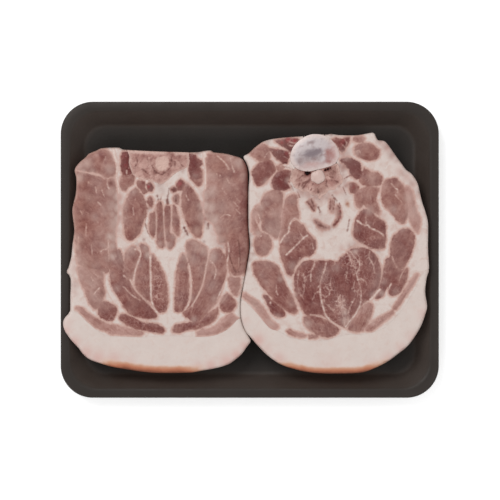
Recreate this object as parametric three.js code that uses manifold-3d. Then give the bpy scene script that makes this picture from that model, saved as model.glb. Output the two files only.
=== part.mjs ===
// A supermarket meat tray: two bone-in pork neck slices lying side by side in a black foam tray.
// Units are millimetres. +Z is up, +X runs along the tray's long side, and the origin is the middle
// of the tray's underside. The fat edge of both slices, with the rind, faces -Y.
import * as THREE from "three";
import { mergeVertices } from "three/addons/utils/BufferGeometryUtils.js";
import Module from "manifold-3d";

const wasm = await Module();
wasm.setup();

// Tray
const TRAY_LENGTH = 235;
const TRAY_WIDTH = 184;
const TRAY_HEIGHT = 15;
const CORNER_RADIUS = 20;
const CORNER_STEPS = 9;
const FOAM = 3; // thickness of the foam sheet
const RIM_WIDTH = 5.5;
const WALL_RUN = 9.5; // how far the sloping wall comes in between the rim and the floor
const FOOT_INSET = RIM_WIDTH + WALL_RUN + 1;

// Slices
const CLEARANCE = 0.35; // gap between pieces that touch
const LEFT_TOP = 21.2; // height of the left slice's cut face above the table
const RIGHT_TOP = 22.2; // the right slice lies a little higher, its edge against the left one's
const SLICE_SAG = 0.9; // how far the cut face dips towards the middle of the tray
const EDGE_ROUND = 2.2; // rounding of a slice's cut edges
const MUSCLE_SWELL = 0.9; // how far a muscle stands out of the fat round it
const FACE_CELL = 4.2; // grid step of the relief on a cut face
const OUTLINE_STEPS = 96;

// Colours, as linear red, green and blue
const FOAM_BLACK = new THREE.Color(0.035, 0.03, 0.028);
const LEAN_PINK = new THREE.Color(0.3, 0.13, 0.11);
const FAT_CREAM = new THREE.Color(0.66, 0.54, 0.5);
const BONE_PINK = new THREE.Color(0.52, 0.34, 0.3);
const CARTILAGE = new THREE.Color(0.6, 0.52, 0.52);
const MARROW_RED = new THREE.Color(0.34, 0.16, 0.12);
const CORD_CREAM = new THREE.Color(0.68, 0.52, 0.46);

// Turns a closed three.js geometry into a solid.
function solidOf(geometry) {
  const bare = geometry.clone();
  bare.deleteAttribute("normal");
  bare.deleteAttribute("uv");
  const merged = mergeVertices(bare, 1e-4);
  return new wasm.Manifold(
    new wasm.Mesh({
      numProp: 3,
      vertProperties: merged.attributes.position.array,
      triVerts: new Uint32Array(merged.index.array),
    }),
  );
}

// Turns a solid into a named mesh with its own material.
function meshOf(name, solid, color, roughness) {
  const { vertProperties, triVerts } = solid.getMesh();
  const geometry = new THREE.BufferGeometry()
    .setAttribute("position", new THREE.BufferAttribute(new Float32Array(vertProperties), 3))
    .setIndex(new THREE.BufferAttribute(new Uint32Array(triVerts), 1));
  geometry.computeVertexNormals();
  const material = new THREE.MeshStandardMaterial({ color, roughness, metalness: 0 });
  const mesh = new THREE.Mesh(geometry, material);
  mesh.name = name;
  return mesh;
}

// A rounded rectangle set in from the tray's outer edge, at height z. Every ring has as many points.
function trayRing(inset, z) {
  const radius = CORNER_RADIUS - 0.45 * Math.max(inset, 0);
  const x = TRAY_LENGTH / 2 - inset - radius;
  const y = TRAY_WIDTH / 2 - inset - radius;
  const ring = [];
  for (const [corner, sx, sy] of [[0, 1, 1], [1, -1, 1], [2, -1, -1], [3, 1, -1]]) {
    for (let step = 0; step <= CORNER_STEPS; step++) {
      const angle = (corner + step / CORNER_STEPS) * (Math.PI / 2);
      ring.push([sx * x + radius * Math.cos(angle), sy * y + radius * Math.sin(angle), z]);
    }
  }
  return ring;
}

// A closed skin through a stack of rings, with a flat fan over the first ring and the last.
function loft(rings) {
  const count = rings[0].length;
  const positions = rings.flat(2);
  const faces = [];
  rings.slice(1).forEach((_, row) => {
    for (let i = 0; i < count; i++) {
      const next = (i + 1) % count;
      const [a, b] = [row * count + i, row * count + next];
      faces.push(a, b, b + count, a, b + count, a + count);
    }
  });
  const last = (rings.length - 1) * count;
  for (let i = 1; i < count - 1; i++) {
    faces.push(0, i + 1, i, last, last + i, last + i + 1);
  }
  return new THREE.BufferGeometry()
    .setAttribute("position", new THREE.Float32BufferAttribute(positions, 3))
    .setIndex(faces);
}

// The tray's inner face from the floor up to the rim, as [inset, height] pairs, lifted by a gap.
function innerWall(gap) {
  const floor = FOAM + gap;
  const top = TRAY_HEIGHT + gap;
  const slope = (TRAY_HEIGHT - FOAM) / WALL_RUN;
  const run = RIM_WIDTH + WALL_RUN + gap;
  return [
    [run + 3, floor],
    [run + 0.4, floor + 0.5],
    [run - 1.6, floor + 2 * slope],
    [RIM_WIDTH + 2 + gap, top - 1.6 * slope],
    [RIM_WIDTH + 0.8 + gap, top - 0.5],
    [RIM_WIDTH - 0.6, top],
  ];
}

function makeTray() {
  const underside = [
    [FOOT_INSET + 1.2, 0],
    [FOOT_INSET - 1, 0.4],
    [FOOT_INSET - 3, 2],
    [5.4, TRAY_HEIGHT - FOAM - 0.8],
    [4, TRAY_HEIGHT - FOAM],
    [0.7, TRAY_HEIGHT - FOAM + 0.2],
    [0, TRAY_HEIGHT - FOAM + 1],
    [0, TRAY_HEIGHT - 0.9],
    [0.8, TRAY_HEIGHT],
  ];
  const profile = [...underside, ...innerWall(0).reverse()];
  return solidOf(loft(profile.map(([inset, z]) => trayRing(inset, z))));
}

// All the room a slice may take: the tray's hollow and everything above the rim.
function makeRoom() {
  const above = [[-10, TRAY_HEIGHT + CLEARANCE], [-10, TRAY_HEIGHT + 30]];
  const profile = [...innerWall(CLEARANCE), ...above];
  return solidOf(loft(profile.map(([inset, z]) => trayRing(inset, z))));
}

// A smooth closed outline through hand-placed points, anticlockwise as seen from above.
function smoothOutline(points, steps) {
  const curve = new THREE.CatmullRomCurve3(
    points.map(([x, y]) => new THREE.Vector3(x, y, 0)), true, "centripetal");
  return curve.getSpacedPoints(steps).slice(0, steps).map((p) => new THREE.Vector2(p.x, p.y));
}

// A smooth open line through hand-placed points.
function smoothLine(points, steps) {
  const curve = new THREE.CatmullRomCurve3(
    points.map(([x, y]) => new THREE.Vector3(x, y, 0)), false, "centripetal");
  return curve.getSpacedPoints(steps).map((p) => new THREE.Vector2(p.x, p.y));
}

// A point of a line moved to the right of the line's run there.
function movedRight(before, point, after, distance) {
  const along = after.clone().sub(before).normalize();
  return new THREE.Vector2(point.x + along.y * distance, point.y - along.x * distance);
}

// A closed outline made larger all round by a distance.
function widen(outline, distance) {
  const count = outline.length;
  return outline.map((p, i) =>
    movedRight(outline[(i + count - 1) % count], p, outline[(i + 1) % count], distance));
}

// An open line moved to its right by a distance.
function moveRight(line, distance) {
  const last = line.length - 1;
  return line.map((p, i) => movedRight(line[Math.max(i - 1, 0)], p, line[Math.min(i + 1, last)], distance));
}

// An upright block of that outline between two heights, its edges rounded where a radius is given.
function prism(outline, low, high, round = 0) {
  const geometry = new THREE.ExtrudeGeometry(new THREE.Shape(outline), {
    depth: high - low - 2 * round,
    steps: 1,
    bevelEnabled: round > 0,
    bevelThickness: round,
    bevelSize: round,
    bevelOffset: -round,
    bevelSegments: 3,
  });
  geometry.translate(0, 0, low + round);
  return solidOf(geometry);
}

// How far the muscles lift the cut face at a point. Each muscle is an oval dome:
// [middle x, middle y, half length, half width, turn of its length from +X in degrees].
function swellAt(x, y, muscles) {
  let swell = 0;
  for (const [cx, cy, long, wide, lean] of muscles) {
    const turn = THREE.MathUtils.degToRad(lean);
    const along = ((x - cx) * Math.cos(turn) + (y - cy) * Math.sin(turn)) / long;
    const across = ((y - cy) * Math.cos(turn) - (x - cx) * Math.sin(turn)) / wide;
    const depth = 1 - along * along - across * across;
    if (depth > 0) swell = Math.max(swell, MUSCLE_SWELL * Math.sqrt(depth));
  }
  return swell;
}

// Height of a slice's cut face: it sags a little towards the tray's middle, and the muscles stand out.
function faceHeight(x, y, top, muscles) {
  const far = Math.min(1, Math.hypot(x / (TRAY_LENGTH / 2), y / (TRAY_WIDTH / 2)));
  return top - MUSCLE_SWELL - SLICE_SAG * (1 - far) + swellAt(x, y, muscles);
}

// A block under the cut face, wide enough to hold the whole outline.
function faceBlock(outline, top, muscles) {
  const box = new THREE.Box2().setFromPoints(outline).expandByScalar(FACE_CELL);
  const size = box.getSize(new THREE.Vector2());
  const middle = box.getCenter(new THREE.Vector2());
  const [nx, ny] = [Math.round(size.x / FACE_CELL), Math.round(size.y / FACE_CELL)];
  const geometry = new THREE.BoxGeometry(size.x, size.y, 2, nx, ny, 1);
  geometry.translate(middle.x, middle.y, 0);
  const position = geometry.attributes.position;
  for (let i = 0; i < position.count; i++) {
    const z = position.getZ(i) > 0 ? faceHeight(position.getX(i), position.getY(i), top, muscles) : -1;
    position.setZ(i, z);
  }
  return solidOf(geometry);
}

// A whole slice before its fat and bone are parted from the lean.
function sliceBody(outline, top, muscles, room) {
  return prism(outline, FOAM, top + 0.4, EDGE_ROUND)
    .intersect(faceBlock(outline, top, muscles))
    .intersect(room);
}

// A tall block over an outline, to cut with.
function cutter(outline) {
  return prism(outline, -5, RIGHT_TOP + 10);
}

// A block under everything on the -Y side of a line that runs across a slice from left to right.
function belowLine(line) {
  const [first, last] = [line[0], line[line.length - 1]];
  const deep = -TRAY_WIDTH;
  return cutter([new THREE.Vector2(first.x, deep), new THREE.Vector2(last.x, deep), ...line.toReversed()]);
}

// Left slice. Its outline goes anticlockwise from the left tip of the back fat.
const LEFT_OUTLINE = [
  [-116.3, -45.5], [-114.6, -50], [-110, -57], [-104.5, -63], [-100.5, -67.6], [-93, -69.9],
  [-84, -72.6], [-72, -74.8], [-56, -76.1], [-40, -76], [-27, -74.2], [-14, -71.3], [-7, -66.2],
  [-2.2, -60], [-1, -56.2], [-3.4, -51.6], [-5.5, -47.6], [-6.6, -40], [-6.4, -32], [-4.6, -26],
  [-2.8, -15], [-1.2, -5], [-0.8, 8], [-1.8, 20], [-1.8, 34], [-1.3, 46], [-2.8, 52.6],
  [-7, 56.9], [-16, 59.5], [-26, 61.3], [-40, 60.8], [-60, 61.3], [-75, 62], [-84, 64],
  [-92, 63.2], [-97.5, 60], [-105, 54], [-108.6, 49.6], [-107.6, 41], [-109.6, 27], [-109.6, 5],
  [-111.5, -6], [-113.8, -12.5], [-111.7, -18], [-112, -30], [-111.3, -37],
];
// Where the left slice's back fat meets the meat, from left to right.
const LEFT_FAT_LINE = [
  [-120, -36], [-109, -37], [-105, -39.8], [-100, -45.6], [-94, -50.6], [-87, -53.6],
  [-75, -54.4], [-50, -54.2], [-30, -54.3], [-20, -52.5], [-12, -48], [-6.5, -42.5], [4, -38],
];
// The sawn vertebra at the top edge of the left slice.
const LEFT_VERTEBRA = [
  [-73.6, 68], [-73.2, 57], [-74, 51.5], [-72.4, 47], [-66, 44.4], [-60, 42.2], [-56, 40.2],
  [-52.4, 42], [-46, 46.6], [-39.4, 50.6], [-37.6, 56], [-37.4, 68],
];
const LEFT_MUSCLES = [
  [-104, 12, 34, 4.5, 88], [-94, 18, 28, 6, 92], [-94, 54, 10, 6, 20], [-76.5, 47, 12, 4.2, 96],
  [-71.5, 21, 17, 7, 98], [-35.5, 21, 18, 6.3, 104], [-34, 49.5, 10, 4, 100], [-15, 20, 36, 12, 88],
  [-96, -22, 13, 7, 110], [-72, -17, 22, 4.5, 100], [-74, -28, 19, 5.5, 124], [-56.5, -22, 17, 4.4, 100],
  [-43.5, -21, 17, 4.2, 88], [-32.5, -18, 20, 5, 82], [-25, -26, 22, 5.5, 68], [-87.8, -38, 5.6, 5.2, 0],
  [-13.4, -33, 6.2, 5, 80], [-66, -47, 15, 2.8, 164], [-33, -46, 15, 3, 20],
];

// Right slice. Its outline goes anticlockwise from the lowest point of the seam with the left slice.
const RIGHT_OUTLINE = [
  [0, -54.3], [5, -59.8], [10.5, -65], [17, -69.6], [29, -74.6], [42, -76.6], [60, -76.6],
  [74, -75], [84, -70.2], [95, -62.6], [103, -53], [108, -43], [110.4, -34.8], [109.2, -29],
  [108.8, -19], [110.7, -10], [110.4, 3], [110.5, 17], [107, 30], [105.2, 40], [100, 48],
  [91, 57.6], [87.4, 63], [83, 67.8], [79.4, 68.6], [77, 73], [69, 72.2], [55, 71.8],
  [41, 72.3], [31, 70.4], [20, 69.5], [8.5, 67.8], [2.4, 62.6], [-3.6, 57.6], [-0.6, 51],
  [0, 46], [-0.9, 38], [-1, 20], [0, 8], [-0.4, -5], [-2, -15], [-3.6, -26], [-5.6, -32],
  [-5.9, -40], [-4.6, -47.4],
];
// Where the right slice's back fat meets the meat, from left to right.
const RIGHT_FAT_LINE = [
  [-14, -30], [-7, -31], [0, -35], [7, -43], [14, -49.6], [24, -54], [36, -56.2], [48, -56],
  [58, -53.6], [72, -52.2], [80, -48.6], [88, -41.4], [96.5, -33], [103, -23], [108, -15], [120, -8],
];
// The glossy end plate of the vertebra, the spinal cord below it, and the arch of bone round that.
// The end plate's outline just reaches past the slice's edge at its top.
const END_PLATE = [
  [25.2, 57], [26.6, 52.6], [30, 49.9], [36, 48.8], [44, 50], [51.4, 52.6], [55, 57], [54.8, 62],
  [52.8, 67], [49.6, 70.6], [45, 72.6], [40, 72.8], [35, 71.6], [30.4, 68.6], [27, 64.2],
];
const END_PLATE_RISE = 1.6;
const CORD_X = 42;
const CORD_Y = 45;
const CORD_RADIUS = 4.2;
const CORD_RISE = 0.9;
const ARCH = [
  [28, 49.6], [25, 45], [24.8, 39.4], [30, 36.6], [37, 34], [43, 31], [50, 36], [56.4, 39.6],
  [57.4, 46], [54, 51.6], [47, 52.6], [35, 52],
];
const RIGHT_MUSCLES = [
  [8.5, 48.5, 8.5, 6, 56], [18.6, 43.4, 6.6, 5.6, 60], [5, 60.5, 6, 4, 40], [73, 60.6, 8.6, 5, -18],
  [65, 50.6, 7.6, 5, -50], [78, 44, 8, 4.6, -24], [92, 31, 17, 5.4, 108], [73, 31, 9.6, 5.6, 128],
  [75, 12, 12.6, 8.6, 112], [94.6, 2, 16, 6.4, 74], [16, 26, 14, 7, 110], [8, 3.4, 8, 5, 86],
  [29, 2, 18, 8.6, 64], [10.6, -15, 10, 7.4, 130], [21, -28, 12.6, 6, 116], [16, -37, 6.6, 3.8, 128],
  [36, -22, 17, 6.4, 96], [50, -24, 20, 7.6, 96], [65, -22, 21, 8, 84], [76, -16, 15, 5.4, 80],
  [44, -47, 10, 6, 152], [69, -43, 9, 6, 58], [90, -20, 13, 4.6, 70],
];

function makeLeftSlice(room) {
  const body = sliceBody(smoothOutline(LEFT_OUTLINE, OUTLINE_STEPS), LEFT_TOP, LEFT_MUSCLES, room);
  const line = smoothLine(LEFT_FAT_LINE, 30);
  const bone = smoothOutline(LEFT_VERTEBRA, 30);
  const lean = body
    .subtract(belowLine(moveRight(line, -CLEARANCE)))
    .subtract(cutter(widen(bone, CLEARANCE)));
  return [
    meshOf("left_slice_lean", lean, LEAN_PINK, 0.5),
    meshOf("left_slice_back_fat", body.intersect(belowLine(line)), FAT_CREAM, 0.45),
    meshOf("left_slice_vertebra", body.intersect(cutter(bone)), BONE_PINK, 0.6),
  ];
}

// An upright block over an outline with a low dome on top.
function domed(outline, low, high, rise, steps) {
  const middle = outline
    .reduce((sum, p) => sum.add(p), new THREE.Vector2())
    .divideScalar(outline.length);
  const rings = [outline.map((p) => [p.x, p.y, low])];
  for (let step = 0; step < steps; step++) {
    const angle = (step / steps) * (Math.PI / 2);
    const shrink = Math.cos(angle);
    const z = high - rise * (1 - Math.sin(angle));
    rings.push(outline.map((p) => [
      middle.x + (p.x - middle.x) * shrink, middle.y + (p.y - middle.y) * shrink, z]));
  }
  return solidOf(loft(rings));
}

function makeRightSlice(room) {
  const outline = smoothOutline(RIGHT_OUTLINE, OUTLINE_STEPS);
  const body = sliceBody(outline, RIGHT_TOP, RIGHT_MUSCLES, room);
  const line = smoothLine(RIGHT_FAT_LINE, 34);
  const plate = smoothOutline(END_PLATE, 30);
  const arch = smoothOutline(ARCH, 30);
  const circle = new THREE.EllipseCurve(CORD_X, CORD_Y, CORD_RADIUS, CORD_RADIUS).getPoints(20).slice(0, -1);
  const endPlate = domed(plate, FOAM, RIGHT_TOP + 0.4, END_PLATE_RISE, 5).intersect(room);
  const cord = domed(circle, FOAM + CLEARANCE, RIGHT_TOP + 0.2, CORD_RISE, 4);
  const plateAndCanal = cutter(widen(plate, CLEARANCE)).add(cutter(widen(circle, CLEARANCE)));
  const lean = body
    .subtract(belowLine(moveRight(line, -CLEARANCE)))
    .subtract(cutter(widen(arch, CLEARANCE)))
    .subtract(plateAndCanal);
  return [
    meshOf("right_slice_lean", lean, LEAN_PINK, 0.5),
    meshOf("right_slice_back_fat", body.intersect(belowLine(line)), FAT_CREAM, 0.45),
    meshOf("right_slice_end_plate", endPlate, CARTILAGE, 0.3),
    meshOf("right_slice_bone_arch", body.intersect(cutter(arch)).subtract(plateAndCanal), MARROW_RED, 0.6),
    meshOf("right_slice_spinal_cord", cord, CORD_CREAM, 0.4),
  ];
}

const pack = new THREE.Group();
const room = makeRoom();
pack.add(meshOf("foam_tray", makeTray(), FOAM_BLACK, 0.55));
pack.add(...makeLeftSlice(room), ...makeRightSlice(room));

export default pack;
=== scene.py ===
import bmesh
import bpy
import numpy as np
from mathutils import Matrix, Vector


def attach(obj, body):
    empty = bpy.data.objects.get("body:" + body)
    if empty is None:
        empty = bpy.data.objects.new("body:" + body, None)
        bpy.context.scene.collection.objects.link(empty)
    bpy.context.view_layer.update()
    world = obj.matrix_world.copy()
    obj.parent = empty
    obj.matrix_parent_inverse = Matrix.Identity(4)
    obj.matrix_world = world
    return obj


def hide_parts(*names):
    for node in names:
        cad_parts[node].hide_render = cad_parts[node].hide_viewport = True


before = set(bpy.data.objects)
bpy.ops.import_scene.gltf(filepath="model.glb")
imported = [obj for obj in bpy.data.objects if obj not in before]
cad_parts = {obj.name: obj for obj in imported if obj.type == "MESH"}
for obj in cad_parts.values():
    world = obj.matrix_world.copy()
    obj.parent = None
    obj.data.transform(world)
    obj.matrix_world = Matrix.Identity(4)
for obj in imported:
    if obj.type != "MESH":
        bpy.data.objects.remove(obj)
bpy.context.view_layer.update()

# Foam tray: one sheet of black polystyrene foam, pressed hot into a flat rim, sloping walls and a flat
# floor. One section is carried round four rounded corners. The skin is satin; on the inner wall and the
# rim it is painted lighter and made a little glossier, as painted light.
TRAY_HALF = (117.5, 92.0)
TRAY_CORNER = 20.0
CORNER_STEPS = 20
# The section, from the underside over the rim to the floor: inset, height and how much painted light
# lightens the skin.
TRAY_SECTION = [
    (20.0, 0.0, 0), (16.0, 0.2, 0), (14.6, 1.0, 0), (13.6, 2.2, 0), (5.6, 11.0, 0), (4.6, 11.9, 0),
    (3.4, 12.1, 0), (0.9, 12.2, 0.3), (0.25, 12.6, 0.4), (0.0, 13.3, 0.5), (0.05, 14.1, 0.5),
    (0.45, 14.75, 0.5), (1.2, 15.0, 0.5), (4.4, 15.0, 0.4), (5.3, 14.85, 0.5), (6.0, 14.35, 0.7),
    (6.9, 13.3, 1), (13.2, 4.5, 1), (14.0, 3.6, 0.9), (15.0, 3.15, 0.6), (16.6, 3.0, 0.3), (24.0, 3.0, 0),
]


def corner_radius(inset):
    """The radius of the tray's corners where its outline is set in by a distance."""
    return TRAY_CORNER - 0.45 * inset


def tray_point(angle_index, inset):
    """A point of the tray's outline set in by a distance; the index counts round its four corners."""
    corner, step = divmod(angle_index, CORNER_STEPS + 1)
    radius = corner_radius(inset)
    angle = (corner + step / CORNER_STEPS) * np.pi / 2
    side = ((1, 1), (-1, 1), (-1, -1), (1, -1))[corner]
    x = side[0] * (TRAY_HALF[0] - inset - radius) + radius * np.cos(angle)
    y = side[1] * (TRAY_HALF[1] - inset - radius) + radius * np.sin(angle)
    return x, y


def finished(bm, name):
    """Makes a smooth object in metres from a closed mesh in millimetres, riding on the pack."""
    bmesh.ops.recalc_face_normals(bm, faces=bm.faces)
    bmesh.ops.scale(bm, vec=(0.001, 0.001, 0.001), verts=bm.verts)
    for face in bm.faces:
        face.smooth = True
    mesh = bpy.data.meshes.new(name)
    bm.to_mesh(mesh)
    bm.free()
    piece = bpy.data.objects.new(name, mesh)
    bpy.context.scene.collection.objects.link(piece)
    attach(piece, "root")
    return piece


def srgb(red, green, blue):
    """A colour as seen on a screen, 0 to 255, as the linear values that a socket takes."""
    return tuple((c / 12.92 if c <= 0.04045 else ((c + 0.055) / 1.055) ** 2.4)
                 for c in (red / 255, green / 255, blue / 255)) + (1.0,)


def node(tree, kind, values, **settings):
    """Adds a shader node. A value is a constant for its socket, or the output that feeds it."""
    made = tree.nodes.new(kind)
    for key, value in settings.items():
        setattr(made, key, value)
    for socket, value in values.items():
        if isinstance(value, bpy.types.NodeSocket):
            tree.links.new(value, made.inputs[socket])
        else:
            made.inputs[socket].default_value = value
    return made


def calc(tree, operation, a, b=0.0, c=0.0):
    """A sum on numbers in a shader."""
    return node(tree, "ShaderNodeMath", {0: a, 1: b, 2: c}, operation=operation).outputs[0]


def step_between(tree, value, low, high, to_low=0.0, to_high=1.0):
    """A smooth step of a number from one value to another."""
    values = {"Value": value, "From Min": low, "From Max": high, "To Min": to_low, "To Max": to_high}
    return node(tree, "ShaderNodeMapRange", values, interpolation_type="SMOOTHSTEP").outputs["Result"]


def blend(tree, share, first, second, kind="MIX"):
    """Mixes two colours."""
    values = {0: share, 6: first, 7: second}
    return node(tree, "ShaderNodeMix", values, data_type="RGBA", blend_type=kind).outputs[2]


def tinted(tree, share, colour, by):
    """A colour multiplied by another one's red, green and blue, as far as the share says."""
    return blend(tree, share, colour, (*by, 1.0), "MULTIPLY")


def patches(tree, size_mm, detail=2.0, warp=0.0, shift=0.0):
    """Soft noise from 0 to 1 with patches of about that size, in the piece's own coordinates."""
    where = node(tree, "ShaderNodeTexCoord", {}).outputs["Object"]
    moved = node(tree, "ShaderNodeVectorMath", {0: where, 1: (shift, shift, 0.0)}).outputs[0]
    values = {"Vector": moved, "Scale": 1000 / size_mm, "Detail": detail, "Distortion": warp}
    return node(tree, "ShaderNodeTexNoise", values).outputs["Fac"]


def cells(tree, size_mm, feature):
    """A pattern of cells of about that size: distance to the middle (F1) or to the edge of a cell."""
    where = node(tree, "ShaderNodeTexCoord", {}).outputs["Object"]
    values = {"Vector": where, "Scale": 1000 / size_mm}
    return node(tree, "ShaderNodeTexVoronoi", values, feature=feature).outputs["Distance"]


def surface(name, make):
    """A material whose nodes are made by a function. It gets the tree and the shader node."""
    material = bpy.data.materials.new(name)
    material.use_nodes = True
    make(material.node_tree, material.node_tree.nodes["Principled BSDF"])
    return material


def connect(tree, shader, sockets):
    """Sets sockets of the shader, each to a constant or to the output that feeds it."""
    for name, value in sockets.items():
        if isinstance(value, bpy.types.NodeSocket):
            tree.links.new(value, shader.inputs[name])
        else:
            shader.inputs[name].default_value = value


def bumps(tree, height, depth_mm):
    """A surface normal from a height pattern."""
    values = {"Height": height, "Distance": depth_mm * 0.001, "Strength": 1.0}
    return node(tree, "ShaderNodeBump", values).outputs["Normal"]


def value_of(tree, name):
    """A number that was stored on the piece's vertices."""
    return node(tree, "ShaderNodeAttribute", {}, attribute_name=name).outputs["Fac"]


def foam_skin(tree, shader):
    dimples = cells(tree, 1.1, "F1")
    cloud = patches(tree, 22.0, 3.0)
    colour = blend(tree, cloud, srgb(24, 20, 17), srgb(31, 27, 24))
    # Painted light: the inner wall and the rim are made up to about four times lighter.
    colour = tinted(tree, value_of(tree, "painted_light"), colour, (4.2, 4.1, 4.2))
    height = calc(tree, "MULTIPLY_ADD", patches(tree, 3.0, 3.0), 0.8, dimples)
    connect(tree, shader, {
        "Base Color": colour,
        "Roughness": step_between(tree, patches(tree, 9.0, 3.0, shift=0.3), 0.3, 0.7, 0.45, 0.58),
        "Specular IOR Level": calc(tree, "MULTIPLY_ADD", value_of(tree, "painted_light"), 0.16, 0.17),
        "Normal": bumps(tree, height, 0.05),
    })


tray_mesh = bmesh.new()
spoke = tray_mesh.verts.layers.int.new("spoke")
painted_light = tray_mesh.verts.layers.float.new("painted_light")
corner_points = 4 * (CORNER_STEPS + 1)
ring = bmesh.ops.create_circle(tray_mesh, cap_ends=True, segments=corner_points, radius=1.0)["verts"]
ring.sort(key=lambda v: np.arctan2(v.co.y, v.co.x) % (2 * np.pi))
for index, vert in enumerate(ring):
    vert[spoke] = index
    vert.co = (*tray_point(index, TRAY_SECTION[0][0]), TRAY_SECTION[0][1])
for inset, z, share in TRAY_SECTION[1:]:
    border = [edge for edge in tray_mesh.edges if edge.is_boundary] or list(tray_mesh.edges)
    for vert in bmesh.ops.extrude_edge_only(tray_mesh, edges=border)["geom"]:
        if isinstance(vert, bmesh.types.BMVert):
            vert.co = (*tray_point(vert[spoke], inset), z)
            vert[painted_light] = share
bmesh.ops.edgeloop_fill(tray_mesh, edges=[edge for edge in tray_mesh.edges if edge.is_boundary])
tray = finished(tray_mesh, "foam_tray_skin")
tray.data.materials.append(surface("black foam", foam_skin))
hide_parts("foam_tray")

# Left slice, the lean: muscles with fat between them, cut across the neck, one soft piece as thick as the
# slice. Its cut face is a sheet of small squares with the muscles standing out, and its sides follow
# the tray where they touch it. The muscles and the seams of fat between them were drawn.
CELL = 0.52
SEAM = 0.02
SLICE_LEVELS = (15.5, 15.15, 12.0, 9.0, 6.5, 4.8, 3.4)
LEFT_TOP = 20.4
EDGE_ROUNDING = 2.8
LEFT_OUTLINE = [
    (-109.6, 20), (-109.9, 25), (-108.9, 30), (-107.6, 36), (-107.4, 44), (-108.4, 49.6), (-105.6, 53.9),
    (-101.5, 57.4), (-99.8, 59.4), (-95, 61.4), (-92.4, 62.7), (-87, 63.2), (-80.8, 63.2), (-78.9, 62.2),
    (-75.4, 61.8), (-60, 61), (-40, 60.4), (-32, 60.5), (-28, 61.2), (-24.3, 61.5), (-22.5, 60.4),
    (-15, 59.5), (-10, 58.2), (-5.6, 56.8), (-2.7, 53.7), (-1.2, 48), (-1.1, 35), (-1.2, 20), (-0.5, 7),
    (-0.3, 0), (-1.8, -10), (-3.5, -20), (-5.5, -30), (-5.8, -36), (-5.5, -42), (-4.2, -47.2),
    (-2.1, -51.4), (-0.2, -54.6), (0.5, -56.9), (-1.8, -60.1), (-5, -64.6), (-9, -68.1), (-13, -70.8),
    (-20, -73.1), (-30, -74.9), (-38, -76.1), (-55, -76.3), (-65, -75.7), (-75, -74.2), (-85, -72.5),
    (-93, -70.2), (-99.6, -67.7), (-103.8, -64), (-105.8, -61.1), (-110.2, -56.5), (-112.8, -53),
    (-114.8, -49.6), (-115.7, -45.4), (-114.5, -42.1), (-111.4, -38), (-111.2, -30), (-111, -17.8),
    (-113.4, -14), (-112.3, -11.2), (-110.6, -4.6), (-109.8, 3), (-108.7, 12),
]
LEFT_FAT_LINE = [
    (-125, -37), (-111.3, -38), (-106, -39.5), (-102, -43.5), (-98, -47), (-93, -51), (-87, -53.3),
    (-78, -53.8), (-68, -54.2), (-55, -53.5), (-40, -53.5), (-32, -54), (-26, -53.8), (-20, -52.5),
    (-14, -49.5), (-10, -46), (-6.5, -42.6), (6, -38),
]
LEFT_BONE = [
    (-74.6, 70), (-74.6, 57.5), (-75, 54), (-73.8, 50), (-72.2, 46.5), (-68, 44), (-60, 42.2), (-55, 40.6),
    (-51.6, 42.4), (-46, 47.2), (-42.5, 49.2), (-39, 51), (-37.9, 54), (-37.7, 60), (-37.7, 70),
]
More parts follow.
